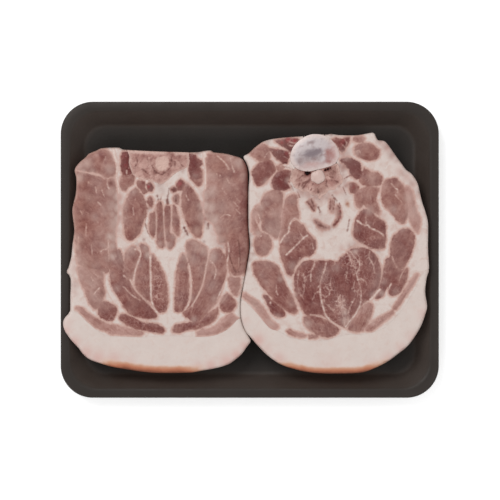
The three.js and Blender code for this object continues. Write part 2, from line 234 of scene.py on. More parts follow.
# Muscles, each as how dark it is, from 0 pale to 1 dark red, and its outline.
LEFT_MUSCLES = [
    (0.33, [(-107, 50.5), (-104, 54.8), (-99.6, 59), (-94.6, 61.6), (-89.6, 62), (-87, 59.6), (-84, 54),
        (-83, 49), (-84, 46), (-88, 44.6), (-92, 47), (-97, 48.6), (-103, 49)]),
    (0.4, [(-113, 47), (-104.4, 47.6), (-99, 46.4), (-95, 44.8), (-91.5, 44.6), (-88.4, 43.6), (-85, 44),
        (-83.4, 40), (-82.8, 34), (-82.4, 26), (-82.6, 18), (-83.6, 12), (-83.6, 4), (-82, -2), (-85, -7),
        (-88, -14), (-92.5, -13), (-100, -11), (-105, -9), (-106.6, -4), (-107.4, 4), (-109, 12),
        (-114, 18), (-114, 25)]),
    (0.85, [(-78.8, 60), (-76, 60.2), (-73, 60), (-73.6, 57), (-73.8, 54), (-73.4, 50), (-73, 47.6),
        (-76, 46), (-78.4, 46.8), (-79, 49), (-79.8, 52), (-79.4, 56)]),
    (0.45, [(-78.6, 45.8), (-76, 45.2), (-73, 46.4), (-71.8, 44), (-72.4, 41), (-74.8, 39.6), (-77, 37),
        (-79, 37.8), (-80, 40), (-80, 42.6)]),
    (0.6, [(-69.5, 42), (-67, 42.3), (-65.5, 41.5), (-64.7, 38), (-64, 36), (-65.5, 35), (-67.5, 37),
        (-69, 40)]),
    (0.95, [(-63.5, 40), (-62, 41), (-60.8, 40.3), (-60.2, 38), (-60.8, 36.3), (-62.5, 36.5),
        (-63.5, 38.3)]),
    (0.75, [(-63, 31.5), (-61.5, 32.5), (-60.2, 31), (-60.5, 27), (-62, 27.5), (-63.3, 29.5)]),
    (0.5, [(-70.5, 38), (-68.5, 36), (-66, 32.5), (-64.5, 28), (-64.4, 24), (-65.6, 19), (-67.1, 15),
        (-68, 11), (-70.5, 8.6), (-73, 6.2), (-75.3, 6.6), (-77, 9.4), (-77.3, 14), (-78, 20), (-77.5, 27),
        (-75.9, 31), (-73.9, 34.6), (-71.8, 37)]),
    (0.92, [(-37, 59), (-34, 58.5), (-33, 56.5), (-30.5, 55), (-29.5, 53), (-31.5, 51.5), (-30, 49),
        (-30, 44.4), (-33.6, 43.6), (-36, 45.4), (-37, 47.4), (-37, 51), (-36.8, 55)]),
    (0.5, [(-36.4, 44.6), (-33.6, 43), (-30.2, 43.8), (-30, 41), (-31.5, 39.8), (-33.5, 41.2)]),
    (0.75, [(-45.2, 39.6), (-44, 41.8), (-42.4, 43), (-40.5, 41.5), (-41, 39), (-42.5, 36.8),
        (-44.5, 37.5)]),
    (0.8, [(-48, 37.4), (-47, 38.4), (-45.8, 37.7), (-46, 36.5), (-47.2, 36.1)]),
    (0.65, [(-46.5, 33.5), (-44.5, 34), (-44, 31), (-44.5, 28.5), (-46.5, 30), (-47.3, 31.5)]),
    (0.55, [(-39.4, 40.2), (-37.2, 39.2), (-34.7, 35.6), (-33, 33), (-31, 29), (-30, 24), (-29.5, 18),
        (-30, 12), (-31, 8), (-33, 8), (-34.7, 9.8), (-36.9, 12.8), (-38.3, 16.2), (-40, 20.4),
        (-41.5, 25.4), (-42, 29), (-41.5, 33), (-41, 37.6)]),
    (0.55, [(-61, 22), (-59, 23), (-58.3, 18), (-58.5, 12), (-59.5, 8), (-61, 9.6), (-61.8, 13),
        (-61.6, 18)]),
    (0.68, [(-57.8, 26), (-56, 29.5), (-54.5, 27), (-53.7, 20), (-53.3, 10), (-52.8, 3), (-54, 1.5),
        (-56, 2), (-57, 5), (-57.2, 12), (-57, 20)]),
    (0.68, [(-53, 24), (-51.5, 27), (-49.7, 26.5), (-49.3, 20), (-49.8, 14), (-49.6, 10), (-47, 9),
        (-46.3, 6), (-47.5, 2.5), (-49.5, 1), (-50.5, 4), (-51.5, 9), (-52.5, 15)]),
    (0.5, [(-47, 27), (-45.5, 24), (-44.3, 18), (-43.8, 12), (-44.5, 9), (-45.8, 9.5), (-47, 13),
        (-47.8, 16), (-48, 20)]),
    (0.5, [(-41.5, -3), (-39.7, -6), (-38.5, -12), (-38, -18), (-37.8, -25), (-38.5, -30), (-40, -35),
        (-42.5, -38), (-45.6, -37.6), (-46, -33), (-45.8, -27), (-45.5, -20), (-44.8, -13), (-43.2, -7)]),
    (0.5, [(-61, -3), (-59, -5), (-56.5, -9), (-54, -14), (-52, -20), (-51, -27), (-51.2, -33.4),
        (-52.2, -37.2), (-55, -38.6), (-57.6, -37.6), (-60.5, -33), (-61, -27), (-61.5, -18), (-61.8, -9)]),
    (0.5, [(-38.5, 4.5), (-36, 5.5), (-33, 5), (-30.5, 3), (-27.5, 1.5), (-26.5, -4), (-27.3, -10),
        (-28.5, -16), (-30, -22), (-32.5, -27), (-35, -32), (-38, -36), (-39.4, -36.6), (-37, -33),
        (-35.8, -28), (-35.3, -22), (-35.5, -16), (-36.5, -10), (-38, -5), (-38.7, 0)]),
    (0.45, [(-22, 0), (-18, -0.6), (-15.5, -4), (-14.7, -10), (-15, -16), (-17, -22), (-19, -28),
        (-22, -34), (-27, -39), (-30, -43), (-33, -46), (-36, -43.5), (-41, -39.5), (-36, -35.5),
        (-31, -28), (-27.5, -18), (-25.5, -7), (-24, -2)]),
    (0.52, [(-20, -36), (-19.4, -37.6), (-21.4, -42.4), (-24.4, -45.2), (-29, -47.2), (-32, -48.6),
        (-36, -49), (-40, -49.8), (-44, -51.2), (-47, -50.8), (-47.4, -49.4), (-45.5, -47), (-42, -46),
        (-38, -45.5), (-34, -45), (-32, -43), (-28, -42), (-25.5, -39.5), (-23, -38.2), (-21, -37.2)]),
    (0.5, [(-18, -34), (-16.5, -30), (-14, -27.5), (-11.2, -29), (-9.5, -31.5), (-9.2, -34.5), (-10.5, -37),
        (-13.5, -38.8), (-17, -37.5)]),
    (0.17, [(-11.6, -40), (-9.2, -41.7), (-7.8, -42.8), (-9.2, -43.9), (-11.2, -45.7), (-15.2, -48.7),
        (-20.4, -51.5), (-27, -52.4), (-32, -52.7), (-32.5, -51.4), (-29, -49.6), (-25, -49.7),
        (-22, -47.9), (-17, -43.9), (-14, -41)]),
    (0.4, [(-26, 58.6), (-18, 59.6), (-10, 58.6), (-3, 58), (2, 50), (2, 40), (2, 22), (2, 8), (1, -4),
        (-3, -14), (-9, -15.8), (-12.4, -13.8), (-14.2, -8), (-14.4, -1), (-15, 4.6), (-18, 4.6),
        (-19.4, 9), (-22, 16), (-26.4, 20), (-27.6, 28), (-27.4, 34), (-26, 40), (-26, 46)]),
    (0.3, [(-13, -18), (-10, -17.5), (-6.4, -17), (-6.4, -20), (-7, -25), (-8.6, -28.6), (-10.6, -26)]),
    (0.3, [(-74.5, 0.6), (-72, 2), (-70, 0.3), (-68.3, -2), (-69, -6), (-70.8, -11), (-72, -17),
        (-73.5, -18.5), (-76, -15), (-77.5, -10), (-77, -5), (-76, -1)]),
    (0.58, [(-67, 3.4), (-64.5, 2), (-63, 0), (-62.3, -4), (-62.3, -10), (-62, -16), (-61.7, -22),
        (-61, -28), (-60.8, -32), (-63, -31), (-66, -28.5), (-69.5, -24.5), (-70.7, -20), (-70, -13),
        (-68, -7), (-66.8, -2)]),
    (0.58, [(-85.2, -7), (-83.6, -3), (-81, 0.2), (-79.4, -3.4), (-78.4, -8), (-77.6, -14), (-76, -17),
        (-74.5, -19.5), (-72, -24.5), (-69, -28), (-65, -31.5), (-61.5, -35), (-57.5, -41), (-60, -42),
        (-65, -42.4), (-69.5, -41.4), (-74, -39.4), (-77, -36), (-79.2, -32), (-80.9, -29.4),
        (-83.6, -25.2), (-85.8, -19), (-86.4, -13)]),
    (0.24, [(-105.4, -11), (-105.6, -14), (-104, -20), (-102, -25), (-99.6, -30), (-98.6, -33),
        (-96.4, -36), (-94.6, -36.4), (-93.3, -34), (-91, -30.5), (-90.4, -27), (-90.6, -24.5),
        (-91.2, -20), (-90.6, -14.6), (-92.5, -13.4), (-100, -11.6)]),
    (0.58, [(-93.6, -37), (-92.4, -33.4), (-90, -32.5), (-87.5, -33), (-84.5, -34.5), (-82.6, -36.5),
        (-83, -39), (-84, -41.5), (-86, -43.8), (-89, -43), (-92, -42), (-93, -40)]),
    (0.72, [(-80.4, -41), (-78.4, -40), (-76, -40.6), (-72, -42.6), (-68, -44.6), (-64, -45.8), (-60, -46),
        (-57, -46.4), (-55, -47.6), (-53.6, -48.8), (-53, -50), (-53.5, -51), (-57, -51), (-60, -50.4),
        (-66, -49.4), (-70, -48.8), (-75, -46.8), (-79, -44), (-80.4, -42.2)]),
    (0.15, [(-107.4, -36), (-106, -35.8), (-103, -37.2), (-100, -39.6), (-97, -41.4), (-94, -43.4),
        (-91, -45), (-88, -46.4), (-83, -47), (-80, -48), (-75, -49.2), (-70, -50.4), (-66.5, -51.6),
        (-67.5, -52.6), (-72, -52.8), (-78, -52.2), (-85, -51.8), (-90, -49.4), (-94, -48.6), (-98, -45.2),
        (-102, -41.4), (-105, -38), (-107.4, -36.2)]),
]
# Bright strands of fat inside the muscles, each as its width in millimetres and its line.
LEFT_STRANDS = [
    (0.8, [(-44, 27), (-42.6, 20), (-40.4, 14), (-36.8, 9.4)]), (0.9, [(-58, 27), (-57.8, 18), (-58, 6)]),
    (0.9, [(-53.3, 29), (-53.2, 18), (-52.6, 4)]), (0.9, [(-48.4, 27), (-48.4, 18), (-48.8, 11)]),
    (2.4, [(-84.6, 62.6), (-83.6, 58), (-82.6, 55)]),
    (1.6, [(-82.6, 55), (-82, 50), (-82.3, 45), (-81.5, 40), (-81, 35)]),
    (1.8, [(-28.6, 57), (-27.6, 50), (-27.4, 44), (-27.6, 38)]), (2.6, [(-28.6, 61), (-27.6, 58)]),
    (1.6, [(-82, 9), (-80, 8.5), (-76, 5), (-73, 4.3), (-70, 5.5)]),
    (0.9, [(-90.4, -14), (-89.8, -19), (-88.8, -24), (-86.8, -29), (-84.2, -32.6)]),
    (1.4, [(-71, 0.5), (-68, -0.5), (-67.3, -2.5), (-68.5, -6), (-70, -10), (-71.3, -15), (-71.8, -19)]),
    (1.1, [(-74, -18.5), (-71.5, -24), (-68, -28), (-63.5, -32.5), (-60, -36), (-57, -39.6)]),
    (1.6, [(-61.6, -4), (-61.4, -16), (-61, -30), (-60.3, -33), (-58, -38), (-56, -40)]),
    (1.1, [(-25.3, 0), (-25.5, -5), (-27, -10), (-28, -17), (-30, -24), (-33, -30), (-36, -35)]),
    (1.3, [(-37.5, -10), (-36.5, -18), (-36.3, -26), (-37.5, -33), (-40, -37)]),
    (1.0, [(-110, 40), (-109, 30)]), (0.7, [(-91.6, 37), (-90, 33)]), (0.7, [(-106, 8), (-106.4, 3)]),
    (0.7, [(-98, 3), (-97.4, -3)]), (0.6, [(-9, 33), (-6.4, 30)]), (0.6, [(-10.4, 30), (-7.6, 27)]),
    (0.6, [(-8.6, 25), (-6, 22.4)]), (0.6, [(-17, 38), (-15, 35)]), (0.6, [(-14, 44), (-12.6, 41)]),
    (0.6, [(-18.4, 20), (-15, 22), (-12, 21)]),
    (0.7, [(-106, 49), (-100, 47.5), (-96, 47), (-93, 46), (-90, 44)]), (0.8, [(-90.5, 54), (-89, 57.5)]),
    (1.2, [(-99.7, 41.9), (-99.6, 41.4)]), (0.8, [(-95.6, 39), (-94.8, 35)]),
    (0.9, [(-94, 29.5), (-92, 27.5)]), (0.9, [(-104.8, 24), (-103.5, 22)]),
    (1.0, [(-86, 45), (-88, 43.5), (-88, 40), (-87, 37.5)]), (0.8, [(-101.2, 16), (-101.5, 9)]),
    (1.0, [(-87.5, 6), (-87.7, 1), (-91, 0), (-92.3, -1.5)]), (0.8, [(-87.5, 0), (-87, -7)]),
    (0.9, [(-76.3, 49), (-76, 46.5)]), (0.9, [(-72.3, 26), (-71.8, 21.5)]), (0.8, [(-39.5, 34), (-38, 31)]),
    (1.2, [(-20, 58), (-15.5, 54), (-13, 50)]), (0.9, [(-12, 57), (-11, 52), (-9.5, 48)]),
    (0.9, [(-20.5, 47), (-20.3, 46.8)]), (0.8, [(-18.5, 46.3), (-18.3, 46.1)]),
    (1.0, [(-25, -6), (-22, -9.5), (-20.8, -13), (-22, -18)]),
    (1.1, [(-13.5, 5), (-13, -2), (-14, -8), (-13.5, -13), (-15, -19), (-17, -24), (-20, -30)]),
    (1.0, [(-12, -14), (-10, -16.5), (-6, -16.5), (-4, -15)]), (0.8, [(-6.5, -5), (-6.7, -13)]),
    (0.8, [(-78, -23), (-73, -28), (-68, -31)]), (0.8, [(-78.5, -12.5), (-78.3, -13.3)]),
    (0.8, [(-78, -16), (-76, -18)]), (0.9, [(-96.5, -14.5), (-94, -16.5)]), (0.8, [(-98, -17), (-97, -19)]),
    (0.9, [(-93, -23.5), (-96.5, -27.5)]),
]
# Dark stains. These and the other soft round marks are each a middle, a radius and a strength.
LEFT_STAINS = [
    (-108.4, -22, 2.2, 0.2), (-80.6, 30, 2.4, 0.12), (-80.6, 20, 2.4, 0.12), (-17, 2.4, 2.4, 0.3),
    (-8, 13, 4, 0.12), (-55, 38, 3, 0.25), (-69.6, 3, 1.4, 0.3), (-25, 52, 2.4, 0.12),
    (-91.4, -35, 1.6, 0.2), (-29, -32, 3, 0.12), (-74.4, 59, 1.3, 0.5), (-68, -30, 6, 0.12),
    (-27, -33, 3, 0.15), (-60, -43, 3, 0.15), (-98, 24, 3, 0.1), (-71.6, 45.4, 2, 0.35),
    (-50.8, 29.6, 1.2, 0.7), (-48.6, 37.4, 1.5, 0.7), (-62.4, 25.4, 1.5, 0.5), (-28, 17, 1.4, 0.4),
    (-96, -6, 6, 0.15), (-88, -8, 2.4, 0.15), (-18, 4, 3, 0.25), (-41.6, 49, 1.8, 0.3),
    (-58.6, 42.6, 1.8, 0.3), (-56, 40.4, 2.8, 0.35), (-54, 36.6, 2.4, 0.25), (-27.6, 19, 1.6, 0.5),
    (-51, 30.8, 1.0, 0.9), (-47.2, 37, 1.8, 0.5), (-74.2, 58.4, 1.2, 0.5), (-74, 52.4, 1.2, 0.4),
    (-32, 59.6, 1.6, 0.5), (-86, 41, 1.6, 0.7), (-88.3, 16.5, 1.8, 0.35), (-91, -27, 2.2, 0.4),
    (-47, 37.3, 1.6, 0.8), (-50.8, 33, 0.9, 0.6), (-57.2, 33.4, 0.9, 0.6), (-56.6, 31.2, 0.8, 0.5),
    (-25.8, 15.4, 1.2, 0.6), (-26.2, 13.4, 1.0, 0.5), (-28.3, 5, 0.9, 0.5), (-40.7, 13.6, 0.9, 0.95),
    (-39.6, 11.5, 0.8, 0.9), (-38.8, 9.6, 0.9, 0.6), (-28.6, 21, 1.2, 0.25), (-65.5, 6.3, 1.0, 0.45),
    (-55, 47.2, 1.2, 0.3),
]
# Thin dark veins, each as its width and its line.
LEFT_VEINS = [
    (1.3, [(-51, 31.4), (-50.8, 28.4)]), (0.8, [(-40.8, 14), (-39.6, 11.6), (-38, 8.6)]),
    (0.7, [(-26, 16.4), (-25.4, 13)]), (0.6, [(-50.8, 34), (-51, 30.6)]), (0.6, [(-57.4, 34), (-56.6, 31)]),
    (0.6, [(-55, 33), (-55.2, 28)]), (0.8, [(-46, 34), (-45.6, 30)]),
    (0.5, [(-63.4, 26), (-64.6, 16), (-62, 8)]), (0.5, [(-50, 38), (-50.4, 34)]),
    (0.8, [(-13, -2), (-10.6, -10), (-8.6, -14)]), (0.7, [(-7, 6), (-6, -6), (-7, -14)]),
]
# Pale hazy places: partly fat lying just under the face, partly painted sheen of the moist face.
LEFT_HAZES = [
    (-83, -24, 2.6, 0.5), (-28, -1, 4, 0.55), (-27, -8, 3, 0.4), (-106, 6, 4, 0.5), (-5.4, 55, 2.4, 0.6),
    (-83, 57, 2.6, 0.5), (-49.4, 8, 2, 0.4), (-76.8, -3.4, 3.2, 0.6), (-18, -30, 3, 0.3),
    (-42, -10, 2.4, 0.3), (-23.6, -4.6, 4.4, 0.6), (-103, -9, 4.4, 0.4), (-96, -10, 4.4, 0.4),
    (-91, -14, 3, 0.4), (-38, 41, 2.4, 0.4), (-15, 17, 3, 0.3), (-12, -10, 3, 0.3), (-18, -26, 3, 0.35),
    (-90, 28, 3, 0.2), (-103, 49, 2.4, 0.7), (-98, 48.6, 2.4, 0.5), (-86.5, 8, 2.8, 0.9),
    (-85.6, 2, 2.6, 0.9), (-84.6, -4, 2.8, 0.8), (-81, -5, 4.6, 0.45), (-74, -1, 3.4, 0.6),
    (-64.6, 1, 2.8, 0.6), (-62.6, -3, 2.6, 0.9), (-32, 1, 4.4, 0.45), (-40, -4, 3.4, 0.5),
    (-34, -6, 4, 0.4), (-24, -22, 5, 0.4), (-28, -12, 4, 0.35), (-22, -14, 3, 0.35), (-22, -30, 3, 0.35),
    (-33, 12, 3, 0.5), (-50.6, 3, 2.6, 0.7), (-48, 8, 2.6, 0.5), (-52, 10, 3, 0.35), (-55.4, 9, 2.6, 0.35),
    (-55.6, 4, 2.2, 0.5), (-6, 54, 4, 0.6), (-12, 58, 3, 0.4), (-4, 46, 3, 0.3), (-106, 44, 3.4, 0.7),
    (-99.5, 32, 3, 0.35), (-107, 2, 3, 0.7), (-107, -6, 3, 0.6), (-18, 17, 3, 0.4), (-44, 30, 2, 0.4),
    (-34, 46, 2.6, 0.3), (-108.4, -20, 3, 0.6), (-108.4, -26, 2.6, 0.5), (-85, 22, 2.6, 0.5),
    (-96, 20, 3, 0.35), (-34.6, -43, 2.2, 0.45), (-36, -30, 2, 0.3), (-46, 32, 1.6, 0.5), (-96, 3, 4, 0.2),
    (-81, 33, 3.4, 1.1), (-81, 26, 3.4, 1.1), (-81, 19, 3.4, 1.1), (-81.6, 12, 3, 0.8), (-28, 34, 3, 1.0),
    (-28, 27, 3.4, 1.1), (-28, 20, 3.4, 1.0), (-23, 19, 4, 0.9), (-18.6, 6, 4, 0.7), (-24.4, 6, 3, 0.3),
    (-15, 12, 3.4, 0.4), (-108, -12, 3, 0.6), (-83, 44, 2.4, 0.5), (-84.4, 16, 4, 0.7), (-84, 8, 4, 0.65),
    (-85.4, 27, 4, 0.6), (-85.4, 36, 3.6, 0.5), (-89, 24, 4, 0.35), (-90, 3, 4, 0.35), (-88, -5, 3, 0.4),
    (-98, -16, 5, 0.4), (-96, -28, 5, 0.35), (-86.6, 50, 3.6, 0.5), (-24, 26, 4, 0.75), (-21, 12, 4.6, 0.6),
    (-23.6, 36, 4, 0.7), (-23.4, 46, 3.6, 0.5), (-17, 26, 6, 0.35), (-10, 14, 4, 0.2), (-20, 55, 3, 0.25),
    (-101, 53, 3.6, 0.7), (-105, 51.6, 3, 0.7), (-107.6, -22, 3, 0.5), (-92, 10, 4, 0.25),
    (-95, 40, 5, 0.2), (-28, 17, 3, 0.5), (-72, 36, 2.6, 0.3), (-97, -20, 6, 0.45), (-34, 4, 2.6, 0.4),
    (-55.4, 48, 1.6, 0.8), (-68, -9, 3, 0.25), (-104, -16, 4, 0.3), (-86, -16, 3, 0.3), (-15, 42, 5, 0.2),
]
# Places browned by the air.
LEFT_WARM = [
    (-103, 40, 6, 0.35), (-102, 28, 6, 0.4), (-103, 16, 6, 0.4), (-104, 4, 5, 0.35), (-99, 33, 4, 0.3),
    (-98, 56, 5, 0.25), (-20, 54, 5, 0.3), (-22, 50, 4, 0.3), (-33, 12, 5, 0.35), (-36, 24, 4, 0.2),
    (-72, 12, 5, 0.25), (-100, -10, 5, 0.25), (-12, 10, 6, 0.2), (-70, -34, 6, 0.2), (-105, 22, 4, 0.3),
    (-9, -10, 5, 0.3),
]
# Spots of dark red blood.
LEFT_BLOOD = [
    (-62.6, 39, 1.3, 0.8), (-43.4, 41, 2.0, 0.7), (-78, 58, 2.4, 0.35), (-76.8, 52, 2.0, 0.4),
    (-34.5, 57, 2.0, 0.3), (-33, 48, 2.4, 0.35), (-56, 20, 2.0, 0.2), (-51, 22, 1.6, 0.2),
]
# Places where fine threads of fat lie close in the muscle.
LEFT_MARBLED = [
    (-60, -26, 2.6, 0.7), (-53, -36, 2.6, 0.9), (-57, -30, 5, 1.0), (-57, -20, 5, 0.9), (-58, -10, 4, 0.5),
    (-43, -30, 4, 0.5), (-42, -18, 4, 0.35), (-65, -20, 4, 0.35), (-67, -48, 7, 0.4), (-82, -50, 9, 0.6),
    (-33, -48, 5, 0.3), (-18, -50, 6, 0.4),
]


def smooth_line(points, closed, step=1.5):
    """A smooth line through the points, as rows of x and y in millimetres."""
    p = np.array(points, float)
    if closed:
        run = np.vstack([p[-1:], p, p[:2]])
    else:
        run = np.vstack([2 * p[:1] - p[1:2], p, 2 * p[-1:] - p[-2:-1]])
    parts = []
    for a, b, c, d in zip(run, run[1:], run[2:], run[3:]):
        count = max(1, round(np.linalg.norm(c - b) / step))
        t = (np.arange(count) / count)[:, None]
        curve = 2 * b + (c - a) * t + (2 * a - 5 * b + 4 * c - d) * t**2 + (3 * b - a - 3 * c + d) * t**3
        parts.append(curve / 2)
    return np.vstack(parts if closed else parts + [p[-1:]])


def nearest(line, closed, spots):
    """How far each spot is from a line, and the point of the line that is nearest to it."""
    away = np.full(len(spots), 1e9)
    foot = np.zeros((len(spots), 2))
    for a, b in zip(line, np.roll(line, -1, 0)) if closed else zip(line, line[1:]):
        run = b - a
        share = np.clip((spots - a) @ run / max(run @ run, 1e-12), 0, 1)
        at = a + share[:, None] * run
        gap = np.hypot(*(spots - at).T)
        closer = gap < away
        away[closer] = gap[closer]
        foot[closer] = at[closer]
    return away, foot


def within(line, spots):
    """Whether each spot is inside a closed line."""
    x, y = spots.T
    inside = np.zeros(len(spots), bool)
    for (x0, y0), (x1, y1) in zip(line, np.roll(line, -1, 0)):
        if y0 != y1:
            inside ^= ((y0 > y) != (y1 > y)) & (x < (x1 - x0) * (y - y0) / (y1 - y0) + x0)
    return inside


def depth_inside(line, spots, reach):
    """How deep each spot is inside a closed line: less than 0 outside it, and no less than -reach."""
    depth = np.full(len(spots), -float(reach))
    near = np.all((spots > line.min(0) - reach) & (spots < line.max(0) + reach), axis=1)
    if near.any():
        away = nearest(line, True, spots[near])[0]
        depth[near] = np.maximum(np.where(within(line, spots[near]), away, -away), -reach)
    return depth


def below(points):
    """The ground on the fat's side of a line that runs across a slice, as a closed line."""
    line = smooth_line(points, False)
    return np.vstack([line, [(line[-1, 0], -150), (line[0, 0], -150)]])


def spread(spots, marks):
    """Soft round marks on the face: each spot's strongest mark."""
    strongest = np.zeros(len(spots))
    for x, y, radius, strength in marks:
        away = np.hypot(spots[:, 0] - x, spots[:, 1] - y)
        strongest = np.maximum(strongest, strength * np.exp(-(away / radius) ** 2))
    return strongest


def lines_at(spots, lines):
    """How deep each spot is inside the nearest of some drawn lines, each its width and its points."""
    deepest = np.full(len(spots), -3.0)
    for width, points in lines:
        line = smooth_line(points, False)
        near = np.all((spots > line.min(0) - 4) & (spots < line.max(0) + 4), axis=1)
        if near.any():
            deepest[near] = np.maximum(deepest[near], width / 2 - nearest(line, False, spots[near])[0])
    return deepest


def with_twigs(lines, seed):
    """The drawn strands of fat, with fine short twigs that leave them on both sides."""
    chance = np.random.default_rng(seed)
    twigs = []
    for width, points in lines:
        line = smooth_line(points, False, 2.0)
        for before, at in zip(line, line[1:]):
            run = (at - before) / np.linalg.norm(at - before)
            turn = chance.choice((-1, 1)) * chance.uniform(0.4, 1.2)
            side = np.array([[np.cos(turn), -np.sin(turn)], [np.sin(turn), np.cos(turn)]]) @ run
            reach = chance.uniform(0.8, 3.2)
            bend = 0.25 * reach * chance.uniform(-1, 1)
            middle = at + side * reach / 2 + bend * np.array([-side[1], side[0]])
            twigs.append((chance.uniform(0.2, 0.5), [tuple(at), tuple(middle), tuple(at + side * reach)]))
    return lines + twigs


def read_face(spots, fan, muscles=(), strands=(), veins=(), stains=(), hazes=(), marbled=(), warm=(),
              blood=()):
    """What the cut face is like at each spot: depth in a muscle, its darkness, strands and marks.
    The fibres run towards the middle of the fan, and grain counts across them in millimetres."""
    muscle = np.full(len(spots), -5.0)
    tone, weight = np.zeros(len(spots)), np.full(len(spots), 1e-9)
    for darkness, points in muscles:
        depth = depth_inside(smooth_line(points, True), spots, 5.0)
        share = np.exp(np.minimum(depth, 2.0) / 0.7)
        tone += share * darkness
        weight += share
        muscle = np.maximum(muscle, depth)
    return {
        "muscle": muscle, "tone": tone / weight,
        "strand": lines_at(spots, strands), "vein": lines_at(spots, veins),
        "stain": spread(spots, stains), "haze": spread(spots, hazes), "marble": spread(spots, marbled),
        "warm": spread(spots, warm), "blood": spread(spots, blood),
        "grain": 60 * np.arctan2(spots[:, 0] - fan[0], spots[:, 1] - fan[1]),
    }


EDGE_REACH = 8.0
FACE_SAG = 0.9
EDGE_DROP = 0.6
FACE_WAVE = 0.18
MUSCLE_RISE = 0.85
STRAND_SINK = 0.3
HOLE_DEPTH = 3.0


def face_height(spots, outline, top, rounding, face):
    """Height of a cut face: a slight sag, rounded at the slice's edge, muscles out and seams in."""
    x, y = spots.T
    far = np.minimum(1, np.hypot(x / TRAY_HALF[0], y / TRAY_HALF[1]))
    edge = depth_inside(outline, spots, EDGE_REACH)
    inward = np.clip(edge, 0, rounding)
    height = top - FACE_SAG * (1 - far)
    height -= EDGE_DROP * (rounding - np.sqrt(np.maximum(rounding**2 - (rounding - inward) ** 2, 0)))
    height += FACE_WAVE * np.sin(x * 0.21 + y * 0.13) * np.sin(y * 0.17 - x * 0.06)
    swell = 1 - np.exp(-np.maximum(face["muscle"], 0) / 1.6)
    strand = np.exp(-np.maximum(-face["strand"], 0) / 0.9)
    height += MUSCLE_RISE * swell * np.clip(edge / 4, 0, 1) - STRAND_SINK * strand * swell
    return height - HOLE_DEPTH * np.clip(face["stain"] - 1, 0, 1)


WALL_TOP = 15.2
WALL_INSET = 5.9
WALL_LEAN = 0.78


def in_tray(x, y, z):
    """The nearest place to x, y that is inside the tray's walls at height z."""
    if z >= WALL_TOP:
        return x, y
    inset = WALL_INSET + (WALL_TOP - z) * WALL_LEAN
    radius = corner_radius(inset)
    over = np.array([abs(x) - (TRAY_HALF[0] - inset - radius), abs(y) - (TRAY_HALF[1] - inset - radius)])
    out = np.hypot(*np.maximum(over, 0)) - radius
    if out <= 0:
        return x, y
    move = np.maximum(over, 0) / (out + radius) * out
    return x - np.sign(x) * move[0], y - np.sign(y) * move[1]


def cut_sheet(limits, cell):
    """A sheet of small squares whose border lies on the limits, each a closed line to keep in or out of.
    A limit is the line, whether its inside is kept, and how far from it the sheet stays."""
    kept = [line for line, keep, _ in limits if keep]
    low = np.max([line.min(0) for line in kept], axis=0) - cell
    high = np.min([line.max(0) for line in kept], axis=0) + cell
    count = np.ceil((high - low) / cell).astype(int)
    middle, half = (low + high) / 2, count * cell / 2
    bm = bmesh.new()
    place = Matrix.Translation((*middle, 0)) @ Matrix.Diagonal((*half, 1, 1))
    bmesh.ops.create_grid(bm, x_segments=count[0], y_segments=count[1], size=1.0, matrix=place)
    spots = np.array([vert.co[:2] for vert in bm.verts])
    depth = np.full(len(spots), 1e9)
    foot = np.zeros((len(spots), 2))
    for line, keep, gap in limits:
        away, at = nearest(line, True, spots)
        inside = within(line, spots) == keep
        inward = (spots - at) / np.maximum(away, 1e-9)[:, None] * np.where(inside, 1, -1)[:, None]
        signed = np.where(inside, away, -away) - gap
        shallower = signed < depth
        depth[shallower] = signed[shallower]
        foot[shallower] = (at + inward * gap)[shallower]
    feet = dict(zip(bm.verts, foot))
    outside = [vert for vert, deep in zip(bm.verts, depth) if deep < -0.4 * cell]
    bmesh.ops.delete(bm, geom=outside, context="VERTS")
    loose = [vert for vert in bm.verts if not vert.link_faces]
    bmesh.ops.delete(bm, geom=loose, context="VERTS")
    for vert in bm.verts:
        if vert.is_boundary:
            vert.co.xy = feet[vert]
    return bm


def carry_down(bm):
    """Carries the sheet's border down to the slice's foot, inside the tray's walls, and closes it."""
    for z in SLICE_LEVELS:
        border = [edge for edge in bm.edges if edge.is_boundary]
        for vert in bmesh.ops.extrude_edge_only(bm, edges=border)["geom"]:
            if isinstance(vert, bmesh.types.BMVert):
                x, y = in_tray(vert.co.x, vert.co.y, z)
                vert.co = (x, y, z)
    bmesh.ops.triangle_fill(bm, edges=[edge for edge in bm.edges if edge.is_boundary], use_beauty=True)
    bmesh.ops.recalc_face_normals(bm, faces=bm.faces)
    for edge in bm.edges:
        edge.smooth = edge.calc_face_angle(0.0) < 1.1


def keep_values(bm, fields):
    """Stores numbers, one for each vertex, for the material to read."""
    for name, values in fields.items():
        layer = bm.verts.layers.float.new(name)
        for vert, value in zip(bm.verts, values):
            vert[layer] = value


def ramp_of(tree, value, stops):
    """A colour that changes with a number, through stops of place and screen colour."""
    made = node(tree, "ShaderNodeValToRGB", {"Fac": value})
    ramp = made.color_ramp
    ramp.elements.remove(ramp.elements[1])
    for place, colour in stops:
        stop = ramp.elements[0] if place == stops[0][0] else ramp.elements.new(place)
        stop.position = place
        stop.color = srgb(*colour)
    return made.outputs["Color"]


def streaks(tree, across_mm, along_mm):
    """Soft noise from 0 to 1 drawn out along the muscle fibres."""
    where = node(tree, "ShaderNodeTexCoord", {}).outputs["Object"]
    parts = node(tree, "ShaderNodeSeparateXYZ", {0: where}).outputs
    across = calc(tree, "DIVIDE", value_of(tree, "grain"), across_mm)
    along = calc(tree, "MULTIPLY", parts["Y"], 1000 / along_mm)
    deep = calc(tree, "MULTIPLY", parts["Z"], 1000 / along_mm)
    vector = node(tree, "ShaderNodeCombineXYZ", {0: across, 1: along, 2: deep}).outputs[0]
    return node(tree, "ShaderNodeTexNoise", {"Vector": vector, "Scale": 1.0, "Detail": 3.0}).outputs["Fac"]


